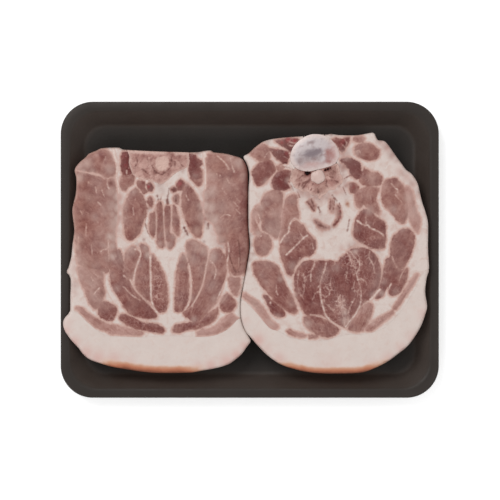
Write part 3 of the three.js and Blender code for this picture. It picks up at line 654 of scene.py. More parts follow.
def swing(tree, pattern):
    """A pattern from 0 to 1 as one from -0.5 to 0.5."""
    return calc(tree, "SUBTRACT", pattern, 0.5)


def lean_flesh(tree, shader):
    wobble = swing(tree, patches(tree, 3.4, 3.0, 0.4))
    fine = swing(tree, patches(tree, 1.3, 2.0))
    depth = calc(tree, "MULTIPLY_ADD", wobble, 2.2, value_of(tree, "muscle"))
    depth = calc(tree, "MULTIPLY_ADD", fine, 1.0, depth)
    lean = step_between(tree, depth, -1.15, -0.05)
    jitter = calc(tree, "MULTIPLY_ADD", fine, 1.0, calc(tree, "MULTIPLY", wobble, 1.3))
    strand = calc(tree, "ADD", jitter, value_of(tree, "strand"))
    vein = calc(tree, "ADD", jitter, value_of(tree, "vein"))
    tone = value_of(tree, "tone")
    tone = calc(tree, "MULTIPLY_ADD", swing(tree, patches(tree, 13.0, 3.0, 0.3)), 1.1, tone)
    tone = calc(tree, "MULTIPLY_ADD", swing(tree, streaks(tree, 1.9, 6.0)), 0.6, tone)
    tone = calc(tree, "MULTIPLY_ADD", swing(tree, patches(tree, 2.8, 4.0, 0.6, 0.1)), 0.75, tone)
    tone = calc(tree, "ADD", tone, step_between(tree, depth, -0.4, 2.2, -0.1, 0.05))
    flesh = ramp_of(tree, tone, [(0.0, (172, 132, 123)), (0.35, (150, 105, 95)), (0.65, (123, 71, 64)),
                                 (1.0, (99, 38, 34))])
    grey = step_between(tree, patches(tree, 17.0, 3.0, 0.5, 0.3), 0.42, 0.66, 0.0, 0.4)
    flesh = blend(tree, grey, flesh, blend(tree, 0.5, flesh, srgb(150, 124, 118)))
    net = step_between(tree, cells(tree, 2.1, "DISTANCE_TO_EDGE"), 0.0, 0.16, 1.0, 0.0)
    net = calc(tree, "MULTIPLY", net, step_between(tree, patches(tree, 3.0, 3.0, 0.8, 0.4), 0.35, 0.6))
    marbled = calc(tree, "MULTIPLY_ADD", value_of(tree, "marble"), 0.6, 0.08)
    flesh = blend(tree, calc(tree, "MULTIPLY", net, marbled), flesh, srgb(198, 160, 150))
    flecks = step_between(tree, streaks(tree, 0.9, 3.0), 0.6, 0.72, 0.0, 0.3)
    flesh = blend(tree, flecks, flesh, srgb(188, 148, 138))
    uneven = step_between(tree, streaks(tree, 2.6, 12.0), 0.2, 0.7, 0.55, 1.25)
    # The hazes: pale greyish patches, partly painted sheen of the moist face.
    haze = calc(tree, "MULTIPLY", value_of(tree, "haze"), uneven)
    flesh = blend(tree, haze, flesh, srgb(184, 156, 147))
    rim = calc(tree, "MULTIPLY_ADD", wobble, 1.6, value_of(tree, "edge"))
    rim = step_between(tree, rim, 0.2, 1.7, 1.3, 0.0)
    rim = calc(tree, "MULTIPLY", rim, patches(tree, 7.0, 2.0, shift=0.7))
    flesh = blend(tree, rim, flesh, srgb(196, 162, 150))
    white = step_between(tree, calc(tree, "MULTIPLY", depth, -1.0), 0.9, 2.4)
    fat = blend(tree, white, srgb(192, 156, 145), srgb(206, 191, 184))
    fat = blend(tree, step_between(tree, patches(tree, 4.0, 4.0, 0.6), 0.45, 0.75, 0.0, 0.5), fat,
                srgb(190, 156, 145))
    fat = blend(tree, calc(tree, "MULTIPLY", haze, 0.9), fat, srgb(187, 152, 143))
    colour = blend(tree, lean, fat, flesh)
    thread = blend(tree, step_between(tree, strand, 0.1, 0.9), srgb(192, 156, 145), srgb(208, 188, 179))
    colour = blend(tree, step_between(tree, strand, -0.45, 0.8, 0.0, 0.92), colour, thread)
    colour = tinted(tree, step_between(tree, vein, -0.5, 0.5, 0.0, 0.8), colour, (0.4, 0.2, 0.17))
    colour = tinted(tree, calc(tree, "MINIMUM", value_of(tree, "stain"), 0.95), colour, (0.34, 0.11, 0.09))
    blood = calc(tree, "MULTIPLY_ADD", fine, 0.5, value_of(tree, "blood"))
    colour = blend(tree, step_between(tree, blood, 0.1, 0.9, 0.0, 0.85), colour, srgb(138, 50, 52))
    colour = tinted(tree, value_of(tree, "warm"), colour, (0.8, 0.5, 0.36))
    # Painted shade: the colour darkens towards the slice's outer edge, where it rounds down, and on its
    # sides.
    side = calc(tree, "MULTIPLY_ADD", wobble, 1.4, value_of(tree, "edge"))
    colour = tinted(tree, step_between(tree, side, -0.3, 1.5, 0.6, 0.0), colour, (0.5, 0.42, 0.4))
    height = calc(tree, "MULTIPLY_ADD", patches(tree, 2.0, 4.0), 1.4, streaks(tree, 0.8, 3.0))
    connect(tree, shader, {
        "Base Color": colour,
        "Roughness": step_between(tree, patches(tree, 4.0, 3.0, shift=0.5), 0.3, 0.7, 0.4, 0.56),
        "Specular IOR Level": 0.35,
        "Normal": bumps(tree, height, 0.25),
    })


WANDER = 2.2


def slice_piece(name, material, limits, outline, top, rounding, data, extra=None, touch=None):
    """One through piece of a slice: its cut face, its sides and the numbers that its material reads.
    Below the face the muscles wander a little. Extra works out what only this piece's material reads, and
    touch is where its rim stops being shaded, because the other slice lies against it, and how softly."""
    bm = cut_sheet(limits, CELL)
    spots = np.array([vert.co[:2] for vert in bm.verts])
    face = read_face(spots, **data)
    for vert, z in zip(bm.verts, face_height(spots, outline, top, rounding, face)):
        vert.co.z = z
    carry_down(bm)
    spots = np.array([vert.co[:2] for vert in bm.verts])
    low = np.array([top - vert.co.z for vert in bm.verts])
    waves = np.sin(np.column_stack([0.55 * low + 0.11 * spots[:, 1], 0.47 * low + 0.13 * spots[:, 0] + 1]))
    fields = read_face(spots + WANDER * np.clip(low / 7 - 0.5, 0, 1)[:, None] * waves, **data)
    fields["edge"] = depth_inside(outline, spots, EDGE_REACH)
    fields["low"] = low
    if touch is not None:
        fields["edge"] += np.clip((spots[:, 0] - touch[0]) / touch[1], 0, 8)
    if extra is not None:
        fields.update(extra(spots))
    keep_values(bm, fields)
    piece = finished(bm, name + "_cut")
    piece.data.materials.append(material)
    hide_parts(name)


lean_material = surface("raw pork muscle", lean_flesh)
left_outline = smooth_line(LEFT_OUTLINE, True)
left_fat_ground = below(LEFT_FAT_LINE)
left_bone_outline = smooth_line(LEFT_BONE, True)
# The line where the other slice lies against this one. Shade is painted along it as soft dark marks, added
# to the stains.
LEFT_CONTACT = [(-3.4, 54), (-1.4, 48), (-1.2, 35), (-1.2, 20), (-0.6, 7), (-0.4, 0), (-1.2, -6)]
contact_shade = [(x, y, 1.8, 0.62) for x, y in smooth_line(LEFT_CONTACT, False)]
contact_shade += [(-2, y, 5.0, 0.28) for y in range(-4, 20, 2)]
LEFT_FAN = (-50, -80)
slice_piece("left_slice_lean", lean_material,
            [(left_outline, True, 0.0), (left_fat_ground, False, SEAM), (left_bone_outline, False, SEAM)],
            left_outline, LEFT_TOP, EDGE_ROUNDING,
            {"fan": LEFT_FAN, "muscles": LEFT_MUSCLES, "strands": LEFT_STRANDS, "veins": LEFT_VEINS,
             "stains": LEFT_STAINS + contact_shade, "hazes": LEFT_HAZES, "marbled": LEFT_MARBLED,
             "warm": LEFT_WARM, "blood": LEFT_BLOOD},
            touch=(-16, 4))

# Left slice, the back fat: a thick firm cream band with the skin's browned rind along its outer edge.
# It goes through the slice, and has grown to the lean along a seam.
LEFT_RIND = [
    (-93, -70.8), (-85, -72.8), (-75, -74.8), (-64, -76.4), (-50, -76.9), (-38, -76.9), (-26, -75.2),
]
# Pinker places of the fat, as soft round marks.
LEFT_BLUSH = [
    (-101, -64, 5, 0.7), (-94, -67.4, 5, 0.8), (-84, -68, 5, 0.7), (-14, -69.6, 5, 0.8),
    (-8, -65.6, 4, 0.9), (-24, -72, 4, 0.8), (-32, -73.4, 4, 0.6), (-114, -50, 3.6, 0.6),
    (-108.6, -57.4, 4, 0.8), (-74, -69.6, 4, 0.4), (-112, -45, 3, 0.3), (-2.6, -60, 3.4, 0.8),
]


RIND_FADING = 20


def rind_of(line, reach, left, right):
    """How browned each spot is: 1 at the rind, less inwards, and fading to nothing at its two ends."""
    rind = smooth_line(line, False)
    return lambda spots: {
        "rind": np.clip(1.1 - nearest(rind, False, spots)[0] / reach, 0, 1)
        * np.clip((spots[:, 0] - left) / RIND_FADING, 0, 1)
        * np.clip((right - spots[:, 0]) / RIND_FADING, 0, 1)
    }


def fat_flesh(tree, shader):
    fat = blend(tree, patches(tree, 9.0, 3.0), srgb(200, 184, 177), srgb(210, 197, 190))
    fat = blend(tree, step_between(tree, patches(tree, 3.0, 4.0, 0.8), 0.45, 0.8, 0.0, 0.4), fat,
                srgb(200, 174, 164))
    fading = step_between(tree, value_of(tree, "low"), 2.5, 8.0, 1.0, 0.5)
    rind = calc(tree, "MULTIPLY", value_of(tree, "rind"), fading)
    rind = calc(tree, "MULTIPLY_ADD", swing(tree, patches(tree, 7.0, 4.0)), 0.5, rind)
    browned = ramp_of(tree, rind, [(0.0, (205, 186, 177)), (0.25, (205, 174, 158)), (0.42, (190, 143, 118)),
                                   (0.62, (178, 112, 83)), (0.9, (140, 82, 58))])
    fat = blend(tree, calc(tree, "MINIMUM", value_of(tree, "haze"), 1.0), fat, srgb(200, 162, 154))
    colour = blend(tree, step_between(tree, rind, 0.05, 0.4), fat, browned)
    # Painted shade: the fat darkens towards the slice's outer edge, where it rounds down, and on its sides.
    side = calc(tree, "MULTIPLY_ADD", swing(tree, patches(tree, 5.0, 3.0)), 2.4, value_of(tree, "edge"))
    colour = tinted(tree, step_between(tree, side, -0.3, 1.7, 0.6, 0.0), colour, (0.55, 0.45, 0.42))
    height = calc(tree, "MULTIPLY_ADD", patches(tree, 4.0, 3.0), 2.0, patches(tree, 0.7, 2.0))
    connect(tree, shader, {
        "Base Color": colour,
        "Roughness": 0.5,
        "Specular IOR Level": 0.3,
        "Normal": bumps(tree, height, 0.12),
    })


fat_material = surface("pork back fat", fat_flesh)
slice_piece("left_slice_back_fat", fat_material,
            [(left_outline, True, 0.0), (left_fat_ground, True, SEAM)],
            left_outline, LEFT_TOP, EDGE_ROUNDING, {"fan": LEFT_FAN, "hazes": LEFT_BLUSH},
            rind_of(LEFT_RIND, 6.2, -98, -22), (-8, 3))

# Left slice, the vertebra: pink spongy bone sawn through, with the paler round body of the bone in it.
# It is set in the lean at the slice's upper edge, and goes through the slice.
BONE_ROUNDING = 1.6
LEFT_BONE_STAINS = [
    (-49.6, 60, 2.6, 0.6), (-40, 52, 3, 0.25), (-40, 53, 3, 0.3), (-64, 53, 3.4, 0.22),
    (-72.6, 48, 2.4, 0.3), (-55.6, 42.4, 2.4, 0.3), (-42, 50, 2, 0.3), (-47.8, 58.8, 1.5, 0.8),
    (-43.5, 58, 1.2, 0.6), (-61.3, 55.5, 1.2, 0.6), (-46.3, 53, 1.3, 0.6), (-51, 47, 1.8, 0.6),
    (-59, 47, 1.3, 0.6), (-49, 55.4, 1.0, 0.7), (-49.3, 53, 0.9, 0.7), (-50.4, 50, 1.0, 0.6),
    (-53, 47.8, 1.0, 0.6), (-66, 58, 1.2, 0.4), (-70, 52, 1.4, 0.35),
]
LEFT_BONE_VEINS = [
    (1.0, [(-48.6, 57), (-48, 54), (-48.8, 51.2), (-51.6, 48.4), (-55, 46.8), (-58.6, 48.6), (-60.4, 52)]),
    (0.9, [(-46.2, 54.4), (-46.4, 51)]), (0.7, [(-44, 55), (-41.4, 51.6)]),
    (0.7, [(-70, 58), (-69.6, 54), (-71.4, 51)]), (0.6, [(-63.6, 58), (-62.6, 53)]),
    (0.6, [(-66.6, 50), (-62, 46)]),
]
LEFT_BODY = [
    (-58.5, 55), (-56.5, 57.5), (-54, 58), (-51, 57.5), (-49.8, 55), (-50.5, 51.5), (-53, 49), (-56, 48.5),
    (-58.5, 51),
]


def of_bone(outline, pale, brown):
    """What a bone's material reads: depth inside the bone and inside its paler part, and how brown it is."""
    edge = smooth_line(pale, True)
    return lambda spots: {
        "pale": depth_inside(edge, spots, 5.0), "inside": depth_inside(outline, spots, 6.0),
        "brown": np.full(len(spots), brown),
    }


def sawn_bone(tree, shader):
    sponge = step_between(tree, cells(tree, 1.5, "F1"), 0.1, 0.65)
    blotch = step_between(tree, patches(tree, 5.0, 4.0, 0.3), 0.36, 0.64)
    colour = blend(tree, blotch, srgb(152, 105, 97), srgb(194, 155, 145))
    rays = step_between(tree, streaks(tree, 4.0, 9.0), 0.35, 0.65)
    colour = blend(tree, calc(tree, "MULTIPLY", rays, value_of(tree, "brown")), colour, srgb(132, 88, 78))
    colour = blend(tree, calc(tree, "MULTIPLY", sponge, 0.2), colour, srgb(190, 150, 138))
    wobble = calc(tree, "MULTIPLY", swing(tree, patches(tree, 2.4, 4.0)), 2.6)
    pale = calc(tree, "ADD", wobble, value_of(tree, "pale"))
    colour = blend(tree, step_between(tree, pale, -0.6, 0.8, 0.0, 0.7), colour, srgb(206, 174, 162))
    rim = calc(tree, "SUBTRACT", value_of(tree, "edge"), 0.8)
    rim = calc(tree, "ADD", wobble, calc(tree, "MINIMUM", value_of(tree, "inside"), rim))
    rim = calc(tree, "DIVIDE", rim, calc(tree, "ADD", value_of(tree, "brown"), 0.75))
    colour = blend(tree, step_between(tree, rim, 0.0, 2.0, 0.8, 0.0), colour, srgb(200, 168, 157))
    vein = calc(tree, "ADD", wobble, value_of(tree, "vein"))
    colour = tinted(tree, step_between(tree, vein, -0.4, 0.5, 0.0, 0.75), colour, (0.36, 0.2, 0.17))
    stain = value_of(tree, "stain")
    colour = tinted(tree, calc(tree, "MINIMUM", stain, 0.9), colour, (0.34, 0.11, 0.09))
    # Painted shade: in the holes, where a stain is stronger than 0.9, the colour goes near-black.
    colour = blend(tree, step_between(tree, stain, 0.9, 1.4), colour, srgb(30, 14, 12))
    height = calc(tree, "MULTIPLY_ADD", sponge, -0.8, patches(tree, 1.4, 4.0))
    connect(tree, shader, {
        "Base Color": colour,
        "Roughness": 0.5,
        "Specular IOR Level": 0.4,
        "Normal": bumps(tree, height, 0.3),
    })


bone_material = surface("sawn bone", sawn_bone)
slice_piece("left_slice_vertebra", bone_material,
            [(left_outline, True, 0.0), (left_bone_outline, True, SEAM)],
            left_outline, LEFT_TOP, BONE_ROUNDING,
            {"fan": LEFT_FAN, "veins": LEFT_BONE_VEINS, "stains": LEFT_BONE_STAINS},
            of_bone(left_bone_outline, LEFT_BODY, 0.25))

# Right slice, the lean: like the left one, but cut a little further along the neck, so that its muscles
# spread like a fan under the spine. It lies slightly higher, with its edge against the left slice.
RIGHT_TOP = 21.4
RIGHT_OUTLINE = [
    (-3.9, 57.6), (-0.5, 59.8), (3.8, 63.8), (9, 67.2), (16, 68.8), (27, 69.9), (33, 70.2), (37, 71),
    (41, 71.6), (48, 71.2), (50, 71.7), (55, 71), (65, 70.8), (70, 71.4), (76.4, 72.4), (78, 69.9),
    (79.4, 67.8), (83, 67.4), (85.4, 65.2), (88.4, 61), (90.9, 57.4), (93.9, 53.4), (96.7, 49.5),
    (99.8, 47.3), (101.9, 44.6), (103.9, 41), (105, 36.6), (106.6, 29.8), (108.3, 24.8), (110.1, 18),
    (110.4, 12), (110.3, 0), (110.9, -12), (109.5, -17.5), (108.6, -26), (109.8, -35), (108.6, -40),
    (106.1, -47), (101.8, -54.4), (97.3, -60), (91.8, -64.4), (85.9, -68.8), (77.9, -73), (70, -75.8),
    (60, -76.5), (45, -76.5), (35, -75.5), (27, -73.6), (19.1, -70.9), (11.3, -65.7), (5.4, -59.9),
    (0.9, -54.7), (-1.8, -51.6), (-3.7, -48), (-5.2, -43), (-5.7, -37), (-5.4, -31), (-3.4, -20),
    (-1.6, -10), (0.1, 2), (-0.8, 15), (-0.85, 35), (-0.3, 45), (-0.8, 50), (-2.4, 54.5),
]
RIGHT_FAT_LINE = [
    (-18, -30), (-5.2, -31), (0, -35), (5, -40), (9, -45), (13, -49), (18, -50.5), (24, -54), (30, -55.5),
    (38, -56.5), (47, -56), (54, -54), (60, -52.5), (68, -52.5), (75, -51.5), (82, -49), (88, -44),
    (94, -37.5), (99, -30), (103, -23), (106, -16), (110.5, -12), (124, -8),
]
END_PLATE = [
    (25, 57), (25.5, 54.5), (27.5, 51.5), (30, 49.7), (33, 48.8), (37, 48.5), (42, 49.6), (46, 50.6),
    (50, 51.8), (53, 53.5), (55, 57), (55.2, 60), (53.6, 64), (51.4, 67), (48.6, 69.3), (45, 71),
    (41, 71.5), (37, 71.1), (33.8, 69.7), (30.6, 67.6), (27.6, 64.6), (25.8, 61),
]
CORD_MIDDLE = (42.2, 45.2)
CORD_RADIUS = 4.4
CORD_WAVES = (1.0, 0.96, 1.06, 1.0, 0.9, 1.04, 1.0, 1.06, 0.92, 1.04, 0.96, 1.04)
ARCH = [
    (27, 49.6), (25.6, 47), (24.8, 43.6), (26.6, 41), (27.6, 38.4), (30.6, 37.4), (32.6, 35.6), (36, 36),
    (38.6, 33.6), (41.6, 33.6), (43, 31), (44.8, 33.4), (47, 34.4), (49, 36.8), (52.6, 37), (54.6, 39.6),
    (57, 40.6), (57.6, 44.6), (56, 47), (55.4, 50.6), (52, 54), (34, 52), (30, 51.6),
]
RIGHT_MUSCLES = [
    (0.5, [(54.3, 27), (55.3, 26.6), (55.9, 24.4), (56.2, 21.8), (55.4, 18.8), (53.4, 16), (51.8, 15),
        (53.2, 17.4), (54.3, 20.2), (54.5, 23.6)]),
    (0.1, [(40.6, 17.8), (42.6, 17.2), (44.8, 15.4), (47, 14.2), (48.4, 13.8), (48, 13.2), (45.4, 12.8),
        (42.8, 14.2), (41.4, 16)]),
    (0.2, [(37.3, 31), (38.3, 30.2), (39.8, 27.2), (40.2, 24.8), (39.4, 24.6), (37.7, 27.6), (36, 29.4),
        (36.8, 29.8)]),
    (0.1, [(49.8, 31), (50.9, 30.4), (51.1, 26), (50.8, 23.2), (50, 24.6), (49.8, 28)]),
    (0.25, [(0.4, 60), (3.5, 63.5), (7, 65), (10.5, 64), (12, 61), (12, 57), (10, 55.5), (6, 55),
        (3.4, 57.4)]),
    (0.95, [(12.4, 62.2), (16, 61.8), (20, 61.4), (23, 60.4), (23.9, 57), (22.6, 54), (20.4, 54),
        (17, 56.4), (14.2, 59.4)]),
    (0.9, [(16, 67.4), (19, 68.2), (24, 68.8), (28, 69.2), (30, 67.6), (27.4, 64.6), (26, 61.8), (25, 61.4),
        (22.6, 62.8), (20.4, 64.4), (18, 66)]),
    (0.6, [(2, 48), (5, 52), (9, 54.5), (12, 54.8), (14.5, 53), (15.5, 50), (14, 46.7), (11.6, 44.9),
        (9.4, 41.6), (7, 40.5), (4.8, 39.9), (3.5, 42), (2.5, 45)]),
    (0.3, [(16.6, 51.6), (19.4, 52), (20.4, 50), (18.4, 49)]),
    (0.9, [(14, 42.4), (15.4, 45.5), (18, 48), (21.5, 49), (25, 48.5), (24.5, 45), (23, 41), (24.5, 38.5),
        (22, 37.2), (19, 36.7), (16.4, 36.8), (14.8, 38.8)]),
    (0.42, [(8, 31), (10, 34), (14, 36), (18, 36.5), (20, 35.5), (20, 30), (19.6, 25), (19, 20), (19, 15),
        (18, 10), (17, 7.5), (15.5, 7.5), (14, 9), (11, 10.5), (8, 12), (8, 22), (7.5, 28)]),
    (0.38, [(22, 30), (24, 32.5), (27, 34), (29.2, 33.6), (28.9, 28), (30, 23), (30, 18.6), (29, 19.5),
        (28, 19.5), (26, 18), (24.5, 15), (24, 12), (21, 9), (19, 6.5), (18.5, 8), (20, 14), (20, 20),
        (21, 26)]),
    (0.25, [(3.4, 25), (5, 27), (7.2, 25.5), (8, 22), (7, 18), (5.5, 17), (4, 20)]),
    (0.2, [(2.6, 24), (3, 20), (3.8, 16), (6, 12), (7, 10.6), (4, 9.6), (2, 12), (1.6, 18)]),
    (0.5, [(4, 7), (6, 9.4), (9, 9.4), (11, 9.3), (12.8, 6), (13.2, 3), (12.3, 0), (10.6, -2.4), (8, -3.4),
        (5, -2), (3.5, 1), (3, 5)]),
    (0.62, [(25, 14), (26.5, 17), (28.5, 18), (31, 16), (32.6, 15), (34.4, 12), (37.4, 8.4), (39.2, 6.8),
        (40.4, 4), (40.4, 0.8), (38.8, -2.6), (36.6, -3.8), (33.4, -4), (31.6, -5.6), (29.2, -8.5),
        (27.6, -11), (26.4, -14.6), (25.6, -16), (24, -15.4), (22.5, -12), (20.5, -7), (19.5, -2),
        (19.3, 3), (20.5, 7), (23, 10.5), (25, 12)]),
    (0.74, [(28, -17), (29.4, -12.4), (31.5, -9.6), (34, -7.6), (38, -7), (41, -7.5), (44, -7), (47, -7.6),
        (50, -7), (53, -8), (55, -7.6), (57, -5), (60, -3), (63, 0.4), (66, 0.3), (70, 0.9), (73.6, -0.1),
        (76.4, -2.4), (79, -6), (80.3, -10), (81, -15), (80.5, -20), (79, -25), (76, -29), (72, -32),
        (69.4, -34.6), (66.4, -39), (63, -43.4), (60, -47.6), (56, -46.6), (51, -43.8), (46, -41),
        (42, -39.6), (38, -40.2), (35, -39.8), (32.3, -36), (29.9, -31), (28.5, -26), (27.9, -20.4)]),
    (0.56, [(2.4, -8.6), (5, -7.8), (9, -7.3), (14, -8.6), (17, -10.4), (18.2, -12.8), (19.4, -16.4),
        (21.2, -20.4), (23.4, -24.4), (25.6, -28.4), (27.4, -32.4), (28.6, -36), (28.8, -38.4), (27, -39.2),
        (24.4, -38.4), (22, -37), (19.5, -34.8), (16, -32.4), (13, -28.6), (10, -24.8), (7, -20.8),
        (4.2, -16.6), (2.6, -12.6)]),
    (0.82, [(9, -28.5), (10, -31), (11.5, -34), (13, -37.5), (15.5, -40.5), (19, -41.7), (21.3, -40.5),
        (21, -38), (19, -35.5), (15.5, -33.5), (13, -31.5), (11, -29)]),
    (0.1, [(-4, -27.5), (0, -29.5), (4, -32), (8, -36), (11, -40), (13, -44), (17, -47.5), (16, -49),
        (12, -47.5), (10, -45), (8, -42), (5.5, -38.5), (2, -33.6), (-2, -30.8)]),
    (0.26, [(23, -50.4), (25, -50), (29, -51.6), (33, -52.6), (35, -53.1), (33, -53.8), (30, -53.4),
        (26, -52.6), (24, -51.4)]),
    (0.4, [(37, -53.2), (40, -52.8), (42, -53.8), (40, -54.6), (37, -54.4)]),
    (0.62, [(33.5, -42), (36, -41.5), (38.5, -40.8), (42, -41), (46, -43), (50, -45.5), (54, -48),
        (55, -49.4), (54, -51.4), (51, -53), (47, -53.8), (42, -52.6), (40, -50.6), (36.8, -49),
        (34.6, -46.6)]),
    (0.34, [(61, -49), (63, -45), (66, -41), (69, -37), (71.5, -34), (74.6, -33.2), (75.6, -36), (75, -40),
        (73.4, -43.4), (72.2, -45.8), (71, -47.8), (70, -49.8), (67, -50.4), (63, -49.8)]),
    (0.14, [(71.5, -49), (74, -47), (77, -44.6), (80.4, -42.4), (83.6, -40.8), (86.4, -39.4), (88.6, -37.8),
        (88.6, -38.8), (86.6, -40.8), (84.6, -42.6), (82, -45), (79, -47.4), (76, -49.6), (73, -49.9)]),
    (0.14, [(89, -36.4), (91, -33), (93.6, -29), (96.4, -24.6), (99.2, -20.2), (102.2, -16.4),
        (103.8, -15.2), (102.8, -18), (100.3, -22), (97.5, -26.2), (94.7, -30.4), (92.3, -34.2),
        (90.3, -36.8)]),
    (0.52, [(65, 62.4), (67, 64.8), (71, 65.8), (74.6, 65), (77.8, 63.2), (79.6, 61), (79.8, 59),
        (78.6, 57.2), (76, 55.8), (73, 55.9), (70, 57), (67, 57.8), (65.2, 60.4)]),
    (0.3, [(64.6, 68), (66, 69.8), (69, 70), (70.8, 68.8), (70, 67.2), (67, 66.8)]),
    (1.0, [(56.4, 55.2), (60, 56.7), (64, 55.4), (67.4, 53.8), (68.6, 52), (68.5, 49.5), (70, 47),
        (68, 44.5), (65, 44), (63, 46.5), (61.5, 50), (59.5, 52.5)]),
    (0.85, [(51.8, 68), (53.6, 69), (57, 68.4), (61.4, 69.6), (60.4, 66), (58.8, 62.8), (57, 60.8),
        (55.4, 62.4), (53.8, 65.6)]),
    (0.6, [(71, 50), (74, 48), (78.6, 47.5), (81.4, 45.4), (81, 41.4), (77.6, 39.7), (73, 39.5), (69.5, 41),
        (68, 44)]),
    (0.62, [(61.5, 40.5), (65, 41), (67.5, 39), (67, 37), (65, 35.5), (62.5, 36), (61.8, 38.5)]),
    (0.36, [(65.5, 35), (68, 36.7), (71, 38), (75, 38.4), (79.6, 37.6), (77.6, 32.4), (79, 27), (80, 22.4),
        (75.5, 24), (72.5, 26.5), (70.5, 28.5), (68, 26), (66, 28), (65.3, 32)]),
    (0.68, [(69.5, 24), (72, 25), (75, 23), (78.5, 19.6), (81.6, 18), (83.4, 16), (83.8, 12), (83.6, 6),
        (82.8, 1.4), (80, 0.9), (75, 1), (72, 3), (68, 5.2), (65, 8), (64.5, 12), (65.5, 17), (67, 21)]),
    (0.42, [(84, 42.4), (88, 43.6), (91, 43.6), (94, 40), (96.5, 35), (97.5, 29), (97.8, 22), (96.8, 19),
        (95, 16.6), (92.4, 17.8), (89.4, 21.2), (86.2, 25), (83, 28), (82, 33), (82.5, 38)]),
    (0.04, [(96, 38), (100, 36), (103, 23), (105, 20), (105, 16), (104, 11), (102.5, 12), (100.5, 16),
        (99, 19), (98.5, 28)]),
    (0.58, [(97.3, 12.8), (99.6, 11.6), (101.4, 8.8), (101.6, 5), (100.3, 0), (98.8, -4), (96.6, -8),
        (94.4, -11.6), (91, -12), (88.4, -8), (87.3, -3), (87.5, 2), (88.4, 6.6), (90.4, 9.4), (93, 11.6)]),
    (0.68, [(85.2, -5.4), (87.4, -5), (90, -11), (93.5, -13), (96, -12), (97.2, -11.8), (97.4, -13),
        (96.8, -18), (95.4, -22), (93, -25.8), (91, -27.4), (88.4, -28), (86.4, -26.8), (86, -24),
        (87.5, -20.5), (84, -24), (82, -28), (79.5, -30), (78, -30), (80, -24), (82, -18), (83, -12)]),
]
RIGHT_STRANDS = [
    (0.9, [(31, 66.6), (27, 66), (23.6, 67.4)]), (0.6, [(25.6, 68.6), (23.4, 65.4)]),
    (0.6, [(28, 64), (24, 64.6)]), (0.7, [(12, 63.6), (15, 63.4), (19, 63)]),
    (0.5, [(21, 57.6), (23.4, 56.4)]), (0.7, [(58, 69), (60, 66), (59, 63)]),
    (0.7, [(56.6, 65.6), (60, 62.4)]), (0.6, [(9, 57), (11, 60), (14, 61)]),
    (0.9, [(19, 51.6), (22.6, 51.4), (27, 50), (31, 48.2), (34, 47.6)]),
    (0.8, [(13, 69), (20, 69.6), (30, 69.5)]),
    (1.3, [(19, 4.5), (21, 8), (24, 11), (24.3, 14.5), (26, 18), (28, 19.5), (30, 18.5), (31.5, 17)]),
    (1.1, [(5.2, 22), (6.5, 18), (6.5, 12.5), (9, 11), (11, 10)]),
    (1.5, [(22.5, -3), (26, 0), (30, 4), (33, 7), (35.5, 8.8)]), (0.8, [(30.5, 11.5), (32.5, 8)]),
    (0.8, [(38.5, 4), (39.5, 0.5)]), (0.8, [(31, -5), (30.5, -8)]),
    (0.9, [(16.5, -22), (16.5, -26), (17.5, -28)]), (1.2, [(12.8, -32.6), (12.8, -33.2)]),
    (1.0, [(6.9, 8.4), (7.1, 8.6)]),
    (1.3, [(66.5, 18), (69, 16), (71, 15), (73, 15.3), (74.5, 13.5), (77, 12.5), (80, 11), (82.5, 9)]),
    (0.8, [(71.8, 20), (72, 16)]), (1.0, [(66, 61), (67.4, 61.4), (68.5, 60)]),
    (0.9, [(87.5, 41), (89.5, 38.5), (91.5, 37), (91.5, 35.5)]), (0.7, [(90, 34), (92, 31.5), (94, 29.5)]),
    (1.0, [(21.2, 35.6), (21.3, 31), (20.6, 26)]), (1.9, [(80.2, -24.6), (77.4, -28), (74.6, -31)]),
    (0.6, [(88, -4), (89.5, -8), (91, -11)]), (0.6, [(98.5, -8.5), (96, -12), (94, -15), (92.5, -19)]),
    (0.9, [(87.5, -21), (86, -24), (85, -27)]), (0.8, [(1, 14), (1, 16)]),
]
